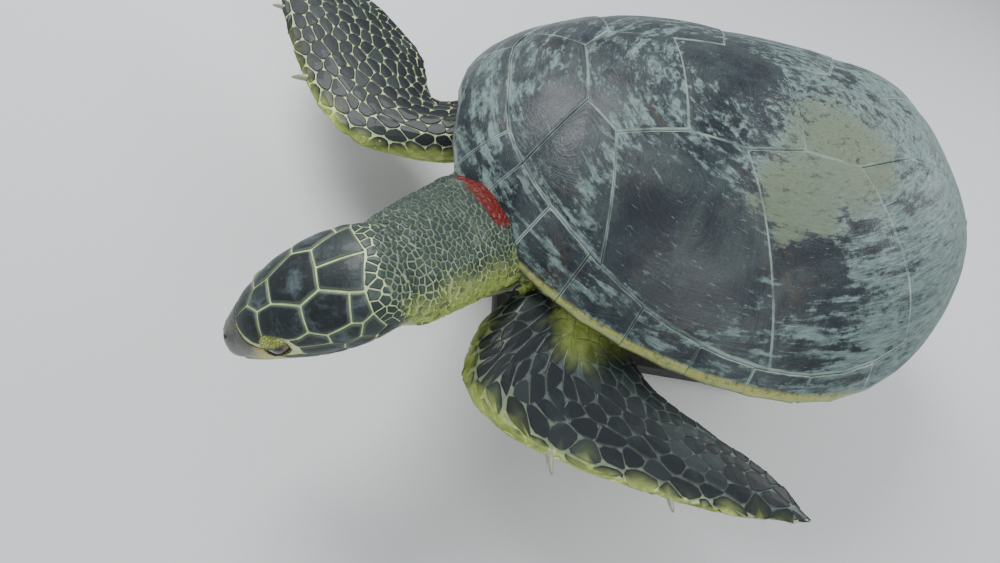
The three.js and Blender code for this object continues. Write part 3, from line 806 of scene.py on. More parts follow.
# Shapes the eye sockets, the hooked tip, the mouth and the nostrils, and notes what the beak is cut out by.
def sculptHead(vert, fields):
    local = headBack @ vert.co
    u, v, w = local
    slit = alongLine(mouthLine, u)
    vert[fields["slit"]] = w - slit
    vert[fields["upperFront"]] = inFrontOf(upperBeakLine, u, w)
    vert[fields["lowerFront"]] = inFrontOf(lowerBeakLine, u, w)
    side = 1 if v > 0 else -1
    eye = Vector((eyeLook["u"], side * eyeLook["v"], eyeLook["w"]))
    away = local - eye
    if side * away.y > -2 and away.length < eyeLook["radius"] + eyeLook["lid"]:
        local = eye + away.normalized() * (eyeLook["radius"] - headShape["socket"])
    local.y *= 1 - headShape["narrow"] * smoothStep(u, 122, 150)
    tip = smoothStep(u, 136, 150) * (1 - smoothStep(abs(v), 3, 13))
    if w > slit:
        low = smoothStep(-w, 6, 24)
        local.x += headShape["hookForward"] * tip * low
        local.z -= headShape["hookDown"] * tip * low
    else:
        local.x -= headShape["chinBack"] * tip
    outward = (headBack.to_3x3() @ vert.normal).normalized()
    share = 1 - abs(w - slit) / headShape["slitHalf"]
    if u > headShape["slitFrom"] and share > 0:
        local -= outward * headShape["slitDepth"] * share * smoothStep(u, headShape["slitFrom"], 92)
    away = Vector((u, abs(v), w)) - nostril["place"]
    away = Vector((away.x * 0.3, away.y, away.z * 1.3)).length
    local -= outward * nostril["depth"] * (1 - smoothStep(away, 0.8, nostril["radius"]))
    local += outward * nostril["lip"] * math.exp(-((away - nostril["radius"] - 0.6) / 0.9) ** 2)
    return headFrame @ local


# How far the neck's skin stands out in a fold, or lies in between two.
def wrinkle(spotOn, amount):
    t, centre = neckNearest(spotOn)
    run = (neckLine(min(1, t + 0.02)) - neckLine(max(0, t - 0.02))).normalized()
    along = (spotOn - centre).dot(run) + t * neckFolds["length"]
    across = neckFolds["across"]
    wave = noise.noise(Vector((along * neckFolds["pitch"], spotOn.z * across, spotOn.x * across)))
    return amount * (-abs(wave) * neckFolds["deep"] + neckFolds["stand"])


def makeSkinMesh():
    bm = makeFleshBody()
    depth = skinLook["depth"]
    fields = {key: bm.verts.layers.float.new(key) for key in ("slit", "upperFront", "lowerFront")}
    for vert in bm.verts:
        part, local, entry = bodyPart(vert.co)
        moved = vert.co - vert.normal * depth
        if entry and abs(entry[2]) < 0.97:
            sink = skinLook["finGrow"] - skinLook["grow"]
            moved -= vert.normal * sink * smoothStep(0.97 - abs(entry[2]), 0, 0.15)
        if part == "neck":
            moved += vert.normal * wrinkle(own(vert.co), skinLook["foldDepth"]) * 0.001
        vert.co = moved
        if part == "head" and local.x > 55:
            vert.co = sculptHead(vert, fields)
        else:
            vert[fields["upperFront"]] = vert[fields["lowerFront"]] = -99
    bm.normal_update()
    return bm


skinBm = makeSkinMesh()
print("skin:", len(skinBm.faces), "faces")
skinTree = BVHTree.FromBMesh(skinBm)


# How yellow-green, how much belly cream and how pale between its scales a place on the body is; in the mouth
# slit both pale and cream are nought, which leaves the skin dark as painted shade for the gap.
def markings(point, normal):
    part, local, entry = bodyPart(point)
    spotOn = own(point)
    ragged = 0.35 * noise.noise(spotOn * 0.045) + 0.2 * noise.noise(spotOn * 0.14)
    under = smoothStep(-normal.z + ragged * 0.4, 0.15, 0.6)
    yellow = 0
    pale = 0.35
    if part == "head":
        # The skin in the mouth slit between the beaks keeps its dark base colour: painted shade for the gap.
        inSlitShade = abs(local.z - alongLine(mouthLine, local.x)) < 2.2 and local.x > 84
        pale = 0 if inSlitShade else 1
        under = 0 if inSlitShade else smoothStep(-local.z + ragged * 10, 12, 30)
        yellow = 0.25 * under
    elif part == "neck":
        low = neckNearest(spotOn)[1] - spotOn
        side = -low.x * 0.75 - low.y * 0.66
        turned = side * 0.5 + low.z + ragged * 26
        yellow = smoothStep(turned, -14, 30)
        under = smoothStep(low.z + ragged * 20, 24, 46)
        pale = mix(0.2, 0.7, smoothStep(turned, -45, 10))
    elif entry:
        _, t, c, _, _ = entry
        lead = smoothStep(c + ragged * 0.16, 0.8, 0.95)
        if part == "frontLeft":
            yellow = lead * (1 - smoothStep(t, 0.88, 1)) * smoothStep(t, 0.1, 0.3)
            yellow = max(yellow, smoothStep(-c + ragged * 0.3, 0.05, 0.5) * (1 - smoothStep(t, 0.38, 0.58)))
            pale = 0.3 * smoothStep(c, 0.3, 0.9)
        elif part == "frontRight":
            yellow = lead * (1 - smoothStep(t, 0.5, 0.85)) * smoothStep(t, 0.05, 0.2)
            pale = 0.8
        else:
            yellow = lead * 0.6
            pale = 0.5
    else:
        yellow = smoothStep(abs(spotOn.x) + ragged * 30, 150, 215) * smoothStep(spotOn.y, -240, -190)
    return {"yellow": max(0, yellow), "under": max(0, under), "pale": pale}


def markSkin(bm):
    layers = {key: bm.verts.layers.float.new(key) for key in ("yellow", "under", "pale")}
    for vert in bm.verts:
        found = markings(vert.co, vert.normal)
        for key, layer in layers.items():
            vert[layer] = found[key]


redPatch = {"places": [(100, -309, 26), (116, -302, 34), (131, -292, 40), (146, -280, 38)], "radius": 0.017}


def redMask(tree, place):
    mask = 0.0
    for centre in redPatch["places"]:
        mask = maths(tree, "MAXIMUM", mask, spot(tree, place, at(*centre), redPatch["radius"], 0.35, 60))
    return mask


def makeSkinMaterial():
    material, tree, surface = newMaterial("wetSkin", {"Roughness": 0.5, "Coat Weight": 0.15})
    place = objectPlace(tree)
    pale, under, yellow = (attribute(tree, key) for key in ("pale", "under", "yellow"))
    patchy = noiseOn(tree, place, 60, 5, 0.65, 0.4)
    base = mottled(tree, patchy, 0.35, 0.7, (0.025, 0.038, 0.04), (0.06, 0.09, 0.085))
    bright = mottled(tree, patchy, 0.3, 0.7, (0.36, 0.46, 0.2), (0.62, 0.74, 0.36))
    # Where pale is nought, as in the mouth slit, the dark base stays: painted shade there.
    base = blended(tree, pale, base, bright)
    cream = mottled(tree, patchy, 0.3, 0.7, (0.42, 0.41, 0.24), (0.62, 0.6, 0.4))
    base = blended(tree, maths(tree, "MULTIPLY", under, 0.85), base, cream)
    lime = mottled(tree, patchy, 0.35, 0.65, (0.28, 0.36, 0.06), (0.55, 0.62, 0.16))
    base = blended(tree, maths(tree, "MULTIPLY", yellow, 0.9), base, lime)
    final = blended(tree, redMask(tree, place), base, colour(0.1, 0.007, 0.004))
    tree.links.new(final, surface.inputs["Base Color"])
    grain = noiseOn(tree, place, 700, 3, 0.6)
    bumped(tree, surface, maths(tree, "ADD", grain, patchy), 0.5, 0.0012)
    return material


def makeScaleMaterial(name, dark, light, mottle):
    material, tree, surface = newMaterial(name, {
        "Roughness": 0.48, "Specular IOR Level": 0.28, "Coat Weight": 0.06,
    })
    place = objectPlace(tree)
    tone, under, yellow, rim = (attribute(tree, key) for key in ("tone", "under", "yellow", "rim"))
    patchy = noiseOn(tree, place, 45, 6, 0.7, 0.5)
    fine = noiseOn(tree, place, 300, 4, 0.65)
    base = blended(tree, ranged(tree, patchy, 0.48, 0.78, 0, mottle), dark, light)
    base = blended(tree, ranged(tree, tone, 0.6, 1, 0, 0.3), base, colour(0.05, 0.07, 0.065))
    base = blended(tree, ranged(tree, fine, 0.6, 0.75, 0, 0.3), base, light)
    cream = mottled(tree, tone, 0.72, 0.8, (0.5, 0.47, 0.29), (0.12, 0.11, 0.07))
    base = blended(tree, maths(tree, "MULTIPLY", under, 0.9), base, cream)
    lime = mottled(tree, patchy, 0.3, 0.7, (0.22, 0.3, 0.05), (0.5, 0.58, 0.15))
    base = blended(tree, maths(tree, "MULTIPLY", yellow, 0.85), base, lime)
    edge = ranged(tree, rim, 0.22, 0.0, 0, 0.5)
    base = blended(tree, edge, base, colour(0.17, 0.23, 0.15))
    final = blended(tree, redMask(tree, place), base, colour(0.12, 0.009, 0.005))
    tree.links.new(final, surface.inputs["Base Color"])
    bumped(tree, surface, maths(tree, "ADD", fine, maths(tree, "MULTIPLY", patchy, 0.6)), 0.35, 0.001)
    return material


markSkin(skinBm)
skinMaterial = makeSkinMaterial()
skinMesh = meshOf(skinBm, "skin")
skinPiece = finishPiece("skin", skinMesh, skinMaterial, fleshNames)


# An unwrap of the skin's own shape, read where a scale is rooted.
def unwrapSkin():
    bpy.context.view_layer.objects.active = skinPiece
    skinPiece.select_set(True)
    bpy.ops.object.mode_set(mode="EDIT")
    bpy.ops.mesh.select_all(action="SELECT")
    bpy.ops.uv.smart_project(angle_limit=math.radians(66), island_margin=0.004)
    bpy.ops.object.mode_set(mode="OBJECT")
    layer = skinMesh.uv_layers.active.data
    found = []
    for face in skinMesh.polygons:
        total = Vector((0, 0))
        for corner in face.loop_indices:
            total += layer[corner].uv
        found.append(total / len(face.loop_indices))
    skinMesh.uv_layers.remove(skinMesh.uv_layers.active)
    return found


skinUnwrap = unwrapSkin()
faceParts = [bodyPart(face.center) for face in skinMesh.polygons]
skinTree = BVHTree.FromPolygons([v.co for v in skinMesh.vertices], [p.vertices for p in skinMesh.polygons])
print("skin unwrapped:", len(skinMesh.polygons), "faces")

# Scales

patchSize = 0.003
mapMargin = 0.0005


# Writes each plate's patch on the skin's unwrap, spread so that the piece's plates fill the map.
def writeScaleMap(bm, roots):
    layer = bm.loops.layers.uv.new("OFBake")
    spots = {key: skinUnwrap[root] for key, root in roots.items()}
    lowU, highU = min(s.x for s in spots.values()), max(s.x for s in spots.values())
    lowV, highV = min(s.y for s in spots.values()), max(s.y for s in spots.values())
    ids = bm.faces.layers.int["plate"]
    flatX = bm.verts.layers.float["flatX"]
    flatY = bm.verts.layers.float["flatY"]
    for face in bm.faces:
        root = spots[face[ids]]
        u = 0.01 + 0.98 * (root.x - lowU) / max(1e-6, highU - lowU)
        v = 0.01 + 0.98 * (root.y - lowV) / max(1e-6, highV - lowV)
        for loop in face.loops:
            x = u + patchSize * 0.5 * loop.vert[flatX]
            y = v + patchSize * 0.5 * loop.vert[flatY]
            loop[layer].uv = [min(1 - mapMargin, max(mapMargin, value)) for value in (x, y)]


scaleGrowth = {
    "jitter": 0.0012, "neighbours": 16, "reach": 0.86, "leastArea": 1.5, "sunk": 0.0006,
    "crease": 0.014,  # where the skin faces itself closer than this, no scale grows
}
cellSteps = [(x, y, z) for x in (-1, 0, 1) for y in (-1, 0, 1) for z in (-1, 0, 1)]


def isCrowded(seed, key, cells, packing):
    for x, y, z in cellSteps:
        for other in cells.get((key[0] + x, key[1] + y, key[2] + z), ()):
            if other["normal"].dot(seed["normal"]) < 0.2:
                continue
            away = other["place"] - seed["place"]
            run = away.dot(seed["along"])
            across = (away - seed["along"] * run).length
            lengths, widths = seed["length"] + other["length"], seed["width"] + other["width"]
            if math.hypot(run / lengths, across / widths) * 2000 < packing:
                return True
    return False


# Seeds spread over the skin, each as far from the next as its scale is long and wide.
def spreadSeeds(region, lay, packing, rng):
    seeds = []
    cells = {}
    faces = [p for p in skinMesh.polygons if region(p)]
    rng.shuffle(faces)
    largest = max((lay(p.center, p.normal)[1] for p in faces[:400]), default=5) * 0.001
    for face in faces:
        spotAt = face.center.copy()
        along, length, width = lay(spotAt, face.normal)
        jitter = Vector((rng.uniform(-1, 1), rng.uniform(-1, 1), rng.uniform(-1, 1))) * scaleGrowth["jitter"]
        spotAt += jitter - face.normal * jitter.dot(face.normal)
        key = tuple(int(math.floor(v / largest)) for v in spotAt)
        seed = {"place": spotAt, "normal": face.normal.copy(), "along": along, "length": length,
                "width": width, "face": face.index}
        if isCrowded(seed, key, cells, packing):
            continue
        seed["along"] = (along - face.normal * along.dot(face.normal)).normalized()
        seeds.append(seed)
        cells.setdefault(key, []).append(seed)
    return seeds


# Each scale is cut to the lines halfway to its neighbours, and to the places where a wall is nearest.
def cellOutline(seed, near, walls, gap):
    across = seed["normal"].cross(seed["along"])
    bm = bmesh.new()
    bmesh.ops.create_circle(bm, cap_ends=True, segments=10, radius=1.0)
    reachX, reachY = seed["length"] * scaleGrowth["reach"], seed["width"] * scaleGrowth["reach"]
    for vert in bm.verts:
        vert.co = Vector((vert.co.x * reachX, vert.co.y * reachY, 0))
    for other in near:
        away = (other["place"] - seed["place"]) * 1000
        flat = Vector((away.dot(seed["along"]), away.dot(across), 0))
        if flat.length < 0.2:
            continue
        flat *= away.length / flat.length
        scaled = Vector((flat.x / seed["length"] ** 2, flat.y / seed["width"] ** 2, 0))
        mine, theirs = seed["width"] + seed["length"], other["width"] + other["length"]
        halfway = flat * mine / (mine + theirs)
        normal = scaled.normalized()
        bmesh.ops.bisect_plane(bm, geom=allOf(bm), clear_outer=True, dist=0.001,
                               plane_co=halfway - normal * gap * 0.5, plane_no=normal)
        if not bm.faces:
            bm.free()
            return None
    for wall in walls:
        away = (wall - seed["place"]) * 1000
        flat = Vector((away.dot(seed["along"]), away.dot(across), 0))
        if flat.length < gap:
            bm.free()
            return None
        normal = flat.normalized()
        bmesh.ops.bisect_plane(bm, geom=allOf(bm), clear_outer=True, dist=0.001,
                               plane_co=flat - normal * gap * 0.5, plane_no=normal)
    bmesh.ops.remove_doubles(bm, verts=bm.verts[:], dist=0.3)
    if not bm.faces or bm.faces[:][0].calc_area() < scaleGrowth["leastArea"]:
        bm.free()
        return None
    return bm


# Grows the scales of one region: region picks the faces, and lay gives each scale's run, length and width.
def growScales(name, region, lay, look, material, seedNumber):
    rng = random.Random(seedNumber)
    seeds = spreadSeeds(region, lay, look["packing"], rng)
    tree = KDTree(len(seeds))
    for i, seed in enumerate(seeds):
        tree.insert(seed["place"], i)
    tree.balance()
    bm = bmesh.new()
    plate = bm.faces.layers.int.new("plate")
    high = bm.faces.layers.float.new("high")
    keys = ("tone", "rim", "yellow", "under", "flatX", "flatY")
    layers = {key: bm.verts.layers.float.new(key) for key in keys}
    roots = {}
    for i, seed in enumerate(seeds):
        near = [seeds[j] for _, j, _ in tree.find_n(seed["place"], scaleGrowth["neighbours"]) if j != i]
        near = [other for other in near if other["normal"].dot(seed["normal"]) > 0.15]
        start = seed["place"] + seed["normal"] * 0.001
        if skinTree.ray_cast(start, seed["normal"], scaleGrowth["crease"])[0] is not None:
            continue
        walls = look["walls"](seed["place"]) if "walls" in look else []
        cell = cellOutline(seed, near, walls, look["gap"])
        if cell is None:
            continue
        if look["corner"]:
            bmesh.ops.bevel(cell, geom=cell.verts[:], offset=look["corner"], offset_type="PERCENT",
                            segments=1, profile=0.5, affect="VERTICES", material=-1)
        across = seed["normal"].cross(seed["along"])
        ring = []
        for vert in cell.faces[:][0].verts:
            flat = vert.co
            spotAt = seed["place"] + (seed["along"] * flat.x + across * flat.y) * 0.001
            down, _, _, _ = skinTree.find_nearest(spotAt)
            made = bm.verts.new(down - seed["normal"] * scaleGrowth["sunk"])
            made[layers["flatX"]] = flat.x / seed["length"]
            made[layers["flatY"]] = flat.y / seed["width"]
            ring.append(made)
        cell.free()
        face = bm.faces.new(ring)
        face.normal_update()
        if face.normal.dot(seed["normal"]) < 0:
            face.normal_flip()
        face[plate] = i
        entry = faceParts[seed["face"]][2]
        face[high] = mix(1, 0.35, smoothStep(abs(entry[2]), 0.8, 0.97)) if entry else 1
        roots[i] = seed["face"]
        tone = rng.random()
        faded = look.get("spotted", 0) if tone > 0.74 else 0
        for vert in ring:
            found = markings(vert.co, seed["normal"])
            vert[layers["tone"]] = tone
            vert[layers["yellow"]] = found["yellow"] * (1 - faded)
            vert[layers["under"]] = found["under"]
    base = bm.faces[:]
    bmesh.ops.duplicate(bm, geom=base)
    tops = bmesh.ops.extrude_discrete_faces(bm, faces=base)["faces"]
    for face in tops:
        for vert in face.verts:
            vert.co += face.normal * (look["thick"] * face[high] * 0.001)
    bmesh.ops.inset_individual(bm, faces=tops, thickness=look["bevel"] * 0.001, depth=look["bevel"] * 0.0004)
    for face in tops:
        for vert in face.verts:
            vert[layers["rim"]] = 1
    caps = bmesh.ops.poke(bm, faces=tops, offset=look["dome"] * 0.001)
    for vert in caps["verts"]:
        vert[layers["rim"]] = 1
    for vert in {v for f in caps["faces"] for v in f.verts}:
        down, normal, _, _ = skinTree.find_nearest(vert.co)
        sunk = look["thick"] * 0.00085 - (vert.co - down).dot(normal)
        if sunk > 0:
            vert.co += normal * sunk
    writeScaleMap(bm, roots)
    mesh = meshOf(bm, name)
    mesh.calc_loop_triangles()
    print(name, len(seeds), "scales,", len(mesh.loop_triangles), "triangles")
    finishPiece(name, mesh, material, [], False)


flipperLook = {"packing": 0.8, "gap": 0.9, "corner": 20, "thick": 1.4, "bevel": 1.0, "dome": 0.3}


def layOnFlipper(point, normal):
    part, _, entry = bodyPart(point)
    if not entry:
        return Vector((0, 1, 0)), 7, 6
    _, t, c, run, chord = entry
    size = mix(6, 17, smoothStep(t, 0.02, 0.28))
    if part.startswith("rear"):
        size = mix(6, 13, smoothStep(t, 0.1, 0.5))
    along = run
    length, width = size * 1.4, size * 0.85
    if c > 0.5 and t > 0.35:
        length, width = length * 1.2, width * 1.2
    if c < -0.55:
        length, width = length * 0.72, width * 0.8
    if part == "frontLeft" and normal.z > -0.2:
        swept = smoothStep(t, 0.1, 0.2) * (1 - smoothStep(t, 0.42, 0.66)) * smoothStep(c, -0.6, -0.2)
        along = run.lerp((chord * 0.9 + run * 0.45).normalized(), swept).normalized()
        length, width = mix(length, 33, swept), mix(width, 12, swept)
    return along, length, width


flipperScale = makeScaleMaterial("flipperScale", colour(0.006, 0.009, 0.012), colour(0.034, 0.05, 0.05), 0.45)
for i, key in enumerate(flipperLines):
    def onThis(face, wanted=key):
        part, _, entry = faceParts[face.index]
        return part == wanted and abs(face.normal.dot(entry[3].cross(entry[4]).normalized())) > 0.55

    growScales(f"scales-{key}", onThis, layOnFlipper, flipperLook, flipperScale, 11 + i)


# Head shields, laid out as (along the head, degrees round it from the top)

headAxis = {"height": -8, "perDegree": 0.66}
shieldLook = {
    "gap": 0.55, "corner": 1.4, "round": 1.2, "step": 3.2, "thick": 1.1, "fall": 0.75,
    "above": 1.0, "crown": 0.55,
}
middleShields = {
    "frontoparietal": [(49.6, 0), (51, 21), (67, 28), (89, 15)],
    "frontal": [(89, 15), (102, 15.5), (110.5, 0)],
}
sideShields = {
    "parietal": [(12.5, 0), (49.6, 0), (51, 21), (31, 32), (20.5, 36)],
    "supraocular": [(89, 15), (67, 28), (70, 52), (80, 56), (88, 55), (97, 48), (106, 43.6), (102, 15.5)],
    "temporalUpper": [(51, 21), (67, 28), (70, 52), (59, 61), (39, 57.5), (31, 32)],
    "temporalRear": [(31, 32), (39, 57.5), (32, 62), (22, 57), (20.5, 36)],
    "temporalLow": [(22, 57), (32, 62), (40, 79), (31, 92), (20, 82)],
    "temporalMiddle": [(59, 61), (39, 57.5), (32, 62), (40, 79), (54, 84), (61, 74)],
    "postocularUpper": [(80, 56), (70, 52), (59, 61), (61, 73), (75, 70), (85, 68), (88, 55)],
    "postocularLower": [(85, 68), (75, 70), (61, 73), (54, 84), (58, 97), (72, 96), (84, 91), (87, 82)],
    "prefrontalRear": [(110.5, 0), (102, 15.5), (106, 43.6), (112.5, 59), (118, 50), (122, 36),
                       (124.5, 20), (125.5, 0)],
    "suborbital": [(84, 91), (72, 96), (78, 106), (92, 107), (104, 103), (108, 88), (99, 92), (90, 86)],
    "cheekFront": [(54, 84), (40, 79), (31, 92), (37, 112), (56, 112), (58, 97)],
}


def onShields(u, degrees):
    turn = math.radians(degrees)
    start = onHead(u, 0, headAxis["height"])
    ray = (onHead(u, math.sin(turn), headAxis["height"] + math.cos(turn)) - start).normalized()
    hit, normal, _, _ = skinTree.ray_cast(start + ray * 0.1, -ray, 0.1)
    if hit is None:
        hit, normal = start, ray
    return hit, normal, ray


def chartOf(local):
    degrees = math.degrees(math.atan2(abs(local.y), local.z - headAxis["height"]))
    return Vector((local.x, degrees * headAxis["perDegree"]))


def flatShield(corners, side):
    return [(u, side * degrees * headAxis["perDegree"]) for u, degrees in corners]


def insideOutline(point, outline):
    inside = False
    for i, (x, y) in enumerate(outline):
        px, py = outline[i - 1]
        if (y > point.y) != (py > point.y) and point.x < x + (point.y - y) * (px - x) / (py - y):
            inside = not inside
    return inside


def makeHeadShields(material):
    outlines = [flatShield(corners + [(u, -d) for u, d in reversed(corners) if d], 1)
                for corners in middleShields.values()]
    for corners in sideShields.values():
        outlines += [flatShield(corners, 1), flatShield(corners, -1)]
    bm = bmesh.new()
    rng = random.Random(5)
    for outline in outlines:
        look = dict(shieldLook, tone=rng.random())

        def place(x, y, height):
            hit, normal, ray = onShields(x, y / headAxis["perDegree"])
            return hit + (normal * 0.6 + ray * 0.4).normalized() * (height + shieldLook["above"]) * 0.001

        def measure(flat, inside):
            return {"lift": shieldLook["crown"] * smoothStep(inside, 0, 8)}

        plate = plateFrom(outline, place, look, measure)
        joinInto(bm, plate)
    addCoatLayers(bm)
    finishPiece("headShields", meshOf(bm, "headShields"), material, [])
    return outlines


# The layers that a scale material reads, and the OFBake map, for plates of any shape.
def addCoatLayers(bm):
    yellow = bm.verts.layers.float.new("yellow")
    under = bm.verts.layers.float.new("under")
    plate = bm.faces.layers.int.new("plate")
    flatX = bm.verts.layers.float.new("flatX")
    flatY = bm.verts.layers.float.new("flatY")
    roots = {}
    for count, part in enumerate(partsOf(bm)):
        centre = sum((v.co for v in part), Vector()) / len(part)
        _, normal, root, _ = skinTree.find_nearest(centre)
        roots[count] = root
        found = markings(centre, normal)
        turn = normal.to_track_quat("Z", "Y").to_matrix().transposed()
        size = max((v.co - centre).length for v in part)
        for vert in part:
            local = turn @ (vert.co - centre) / size
            vert[flatX], vert[flatY] = local.x, local.y
            vert[yellow], vert[under] = found["yellow"], found["under"]
            for face in vert.link_faces:
                face[plate] = count
    writeScaleMap(bm, roots)


shieldMaterial = makeScaleMaterial("headShield", colour(0.012, 0.016, 0.018), colour(0.16, 0.22, 0.24), 0.55)
shieldOutlines = makeHeadShields(shieldMaterial)
print("head shields:", len(shieldOutlines))


# How far a place on the head's chart lies outside the nearest shield.
def shieldDistance(flat):
    best = 99
    for outline in shieldOutlines:
        if min(abs(flat.x - x) for x, _ in outline) > 30 and min(abs(flat.y - y) for _, y in outline) > 30:
            continue
        if insideOutline(flat, outline):
            return 0
        best = min(best, edgeDistance(flat, [Vector(corner) for corner in outline]))
    return best


# How far a place on the head lies in front of the beak's rear edge.
def beyondBeak(local):
    line = upperBeakLine if local.z > alongLine(mouthLine, local.x) else lowerBeakLine
    return inFrontOf(line, local.x, local.z)


wallReach = {"outline": 45, "shield": 9, "beakFrom": 80, "eye": 26, "eyeGap": 0.6}


# The nearest places on the shields' outlines, the beak and the lids, where a scale near them ends.
def headWalls(point):
    local = headBack @ point
    walls = []
    if local.x < -12 or local.length > 190:
        return walls
    flat = chartOf(local)
    side = 1 if local.y > 0 else -1
    for outline in shieldOutlines:
        low = min(outline, key=lambda corner: (flat - Vector(corner)).length)
        if (flat - Vector(low)).length > wallReach["outline"]:
            continue
        best = None
        for i, b in enumerate(outline):
            a, b = Vector(outline[i - 1]), Vector(b)
            run = b - a
            part = min(1, max(0, (flat - a).dot(run) / max(run.length_squared, 1e-9)))
            near = a + run * part
            if best is None or (near - flat).length < (best - flat).length:
                best = near
        if (best - flat).length < wallReach["shield"]:
            walls.append(onShields(best.x, side * best.y / headAxis["perDegree"])[0])
    if local.x > wallReach["beakFrom"]:
        walls.append(onHead(local.x - beyondBeak(local), local.y, local.z))
    eye = Vector((eyeLook["u"], local.y, eyeLook["w"]))
    away = local - eye
    if away.length < wallReach["eye"]:
        edge = eye + away.normalized() * (eyeLook["radius"] + eyeLook["lid"] + wallReach["eyeGap"])
        walls.append(headFrame @ edge)
    return walls


cheekLook = {
    "packing": 0.82, "gap": 1.0, "corner": 20, "thick": 1.3, "bevel": 1.0, "dome": 0.4, "walls": headWalls,
}
shieldMargin = 1.9  # how far from a shield the small scales' seeds stay


def onCheek(face):
    part, local, _ = faceParts[face.index]
    if part != "head" or local.x < 22:
        return False
    if beyondBeak(local) > -2:
        return False
    eyeAway = math.hypot(local.x - eyeLook["u"], local.z - eyeLook["w"])
    if eyeAway < 15.5:
        return False
    return shieldDistance(chartOf(local)) > shieldMargin


def layOnCheek(point, normal):
    size = 8 if (headBack @ point).x < 84 else 6.5
    return headDirection(1, 0, 0), size * 1.15, size


growScales("scales-cheeks", onCheek, layOnCheek, cheekLook, shieldMaterial, 41)

neckLook = {
    "packing": 0.82, "gap": 0.9, "corner": 0, "thick": 0.9, "bevel": 0.8, "dome": 0.4, "walls": headWalls,
    "spotted": 0.6,
}


def layOnNeck(point, normal):
    part, _, _ = bodyPart(point)
    size = (5.2, 6.4) if part == "neck" else (8, 7.6)
    return Vector((0.55, -0.8, 0.2)).normalized(), *size


def onNeck(face):
    part, spotOn, _ = faceParts[face.index]
    s = alongShell(spotOn.y)
    if part in ("neck", "tail"):
        return True
    if part == "head":
        return spotOn.x < 22 and shieldDistance(chartOf(spotOn)) > shieldMargin
    if part != "body":
        return False
    return abs(spotOn.x) > 0.72 * shellHalf(min(1, max(0, s))) or spotOn.y < -235 or spotOn.y > 240


neckScale = makeScaleMaterial("neckScale", colour(0.024, 0.04, 0.036), colour(0.09, 0.125, 0.1), 0.8)
growScales("scales-neck", onNeck, layOnNeck, neckLook, neckScale, 31)

# Beak

beakLook = {"thick": 1.0, "lip": 0.3, "smooth": 3, "halfSlit": 0.3, "wall": 0.0016}
beakMarks = {
    "warm": ((110, 26, -9), 0.019),
    "low": ((114, 22, -34), 0.032),
    "tip": ((149, 0, -27), 0.017),
}


# Cuts a mesh along the line where a layer is nought and keeps the side where it is above.
def keepAbove(bm, layer):
    for edge in bm.edges[:]:
        start, end = edge.verts
        low, high = start[layer], end[layer]
        if low * high < 0:
            _, made = bmesh.utils.edge_split(edge, start, low / (low - high))
            made[layer] = 0
    bmesh.ops.connect_verts(bm, verts=[v for v in bm.verts if v[layer] == 0])
    gone = [v for v in bm.verts if v[layer] < 0]
    bmesh.ops.delete(bm, geom=gone, context="VERTS")


def makeBeak(name, upper, material):
    bm = bmesh.new()
    bm.from_mesh(skinMesh)
    slit = bm.verts.layers.float["slit"]
    front = bm.verts.layers.float["upperFront" if upper else "lowerFront"]
    far = [v for v in bm.verts if v[front] < -6]
    bmesh.ops.delete(bm, geom=far, context="VERTS")
    for vert in bm.verts:
        vert[slit] = (vert[slit] if upper else -vert[slit]) - beakLook["halfSlit"]
        for layer in (slit, front):
            if abs(vert[layer]) < 0.001:
                vert[layer] = 0.001
    keepAbove(bm, slit)
    keepAbove(bm, front)
    bmesh.ops.triangulate(bm, faces=bm.faces[:])
    biggestPart(bm)
    bmesh.ops.remove_doubles(bm, verts=bm.verts[:], dist=0.0001)
    bmesh.ops.subdivide_edges(bm, edges=bm.edges[:], cuts=1, use_grid_fill=True)
    rim = [v for v in bm.verts if v.is_boundary]
    relax(bm, bm.verts[:], beakLook["smooth"])
    bm.normal_update()
    rimSet = set(rim)
    for vert in bm.verts:
        vert.co += vert.normal * (beakLook["lip"] if vert in rimSet else beakLook["thick"]) * 0.001
    bm.normal_update()
    inward = {v: v.normal * beakLook["wall"] for v in bm.verts}
    bmesh.ops.extrude_face_region(bm, geom=bm.faces[:], use_keep_orig=True)
    for vert, back in inward.items():
        vert.co -= back
    bmesh.ops.recalc_face_normals(bm, faces=bm.faces[:])
    finishPiece(name.replace("_", "-"), meshOf(bm, name), material, [name])


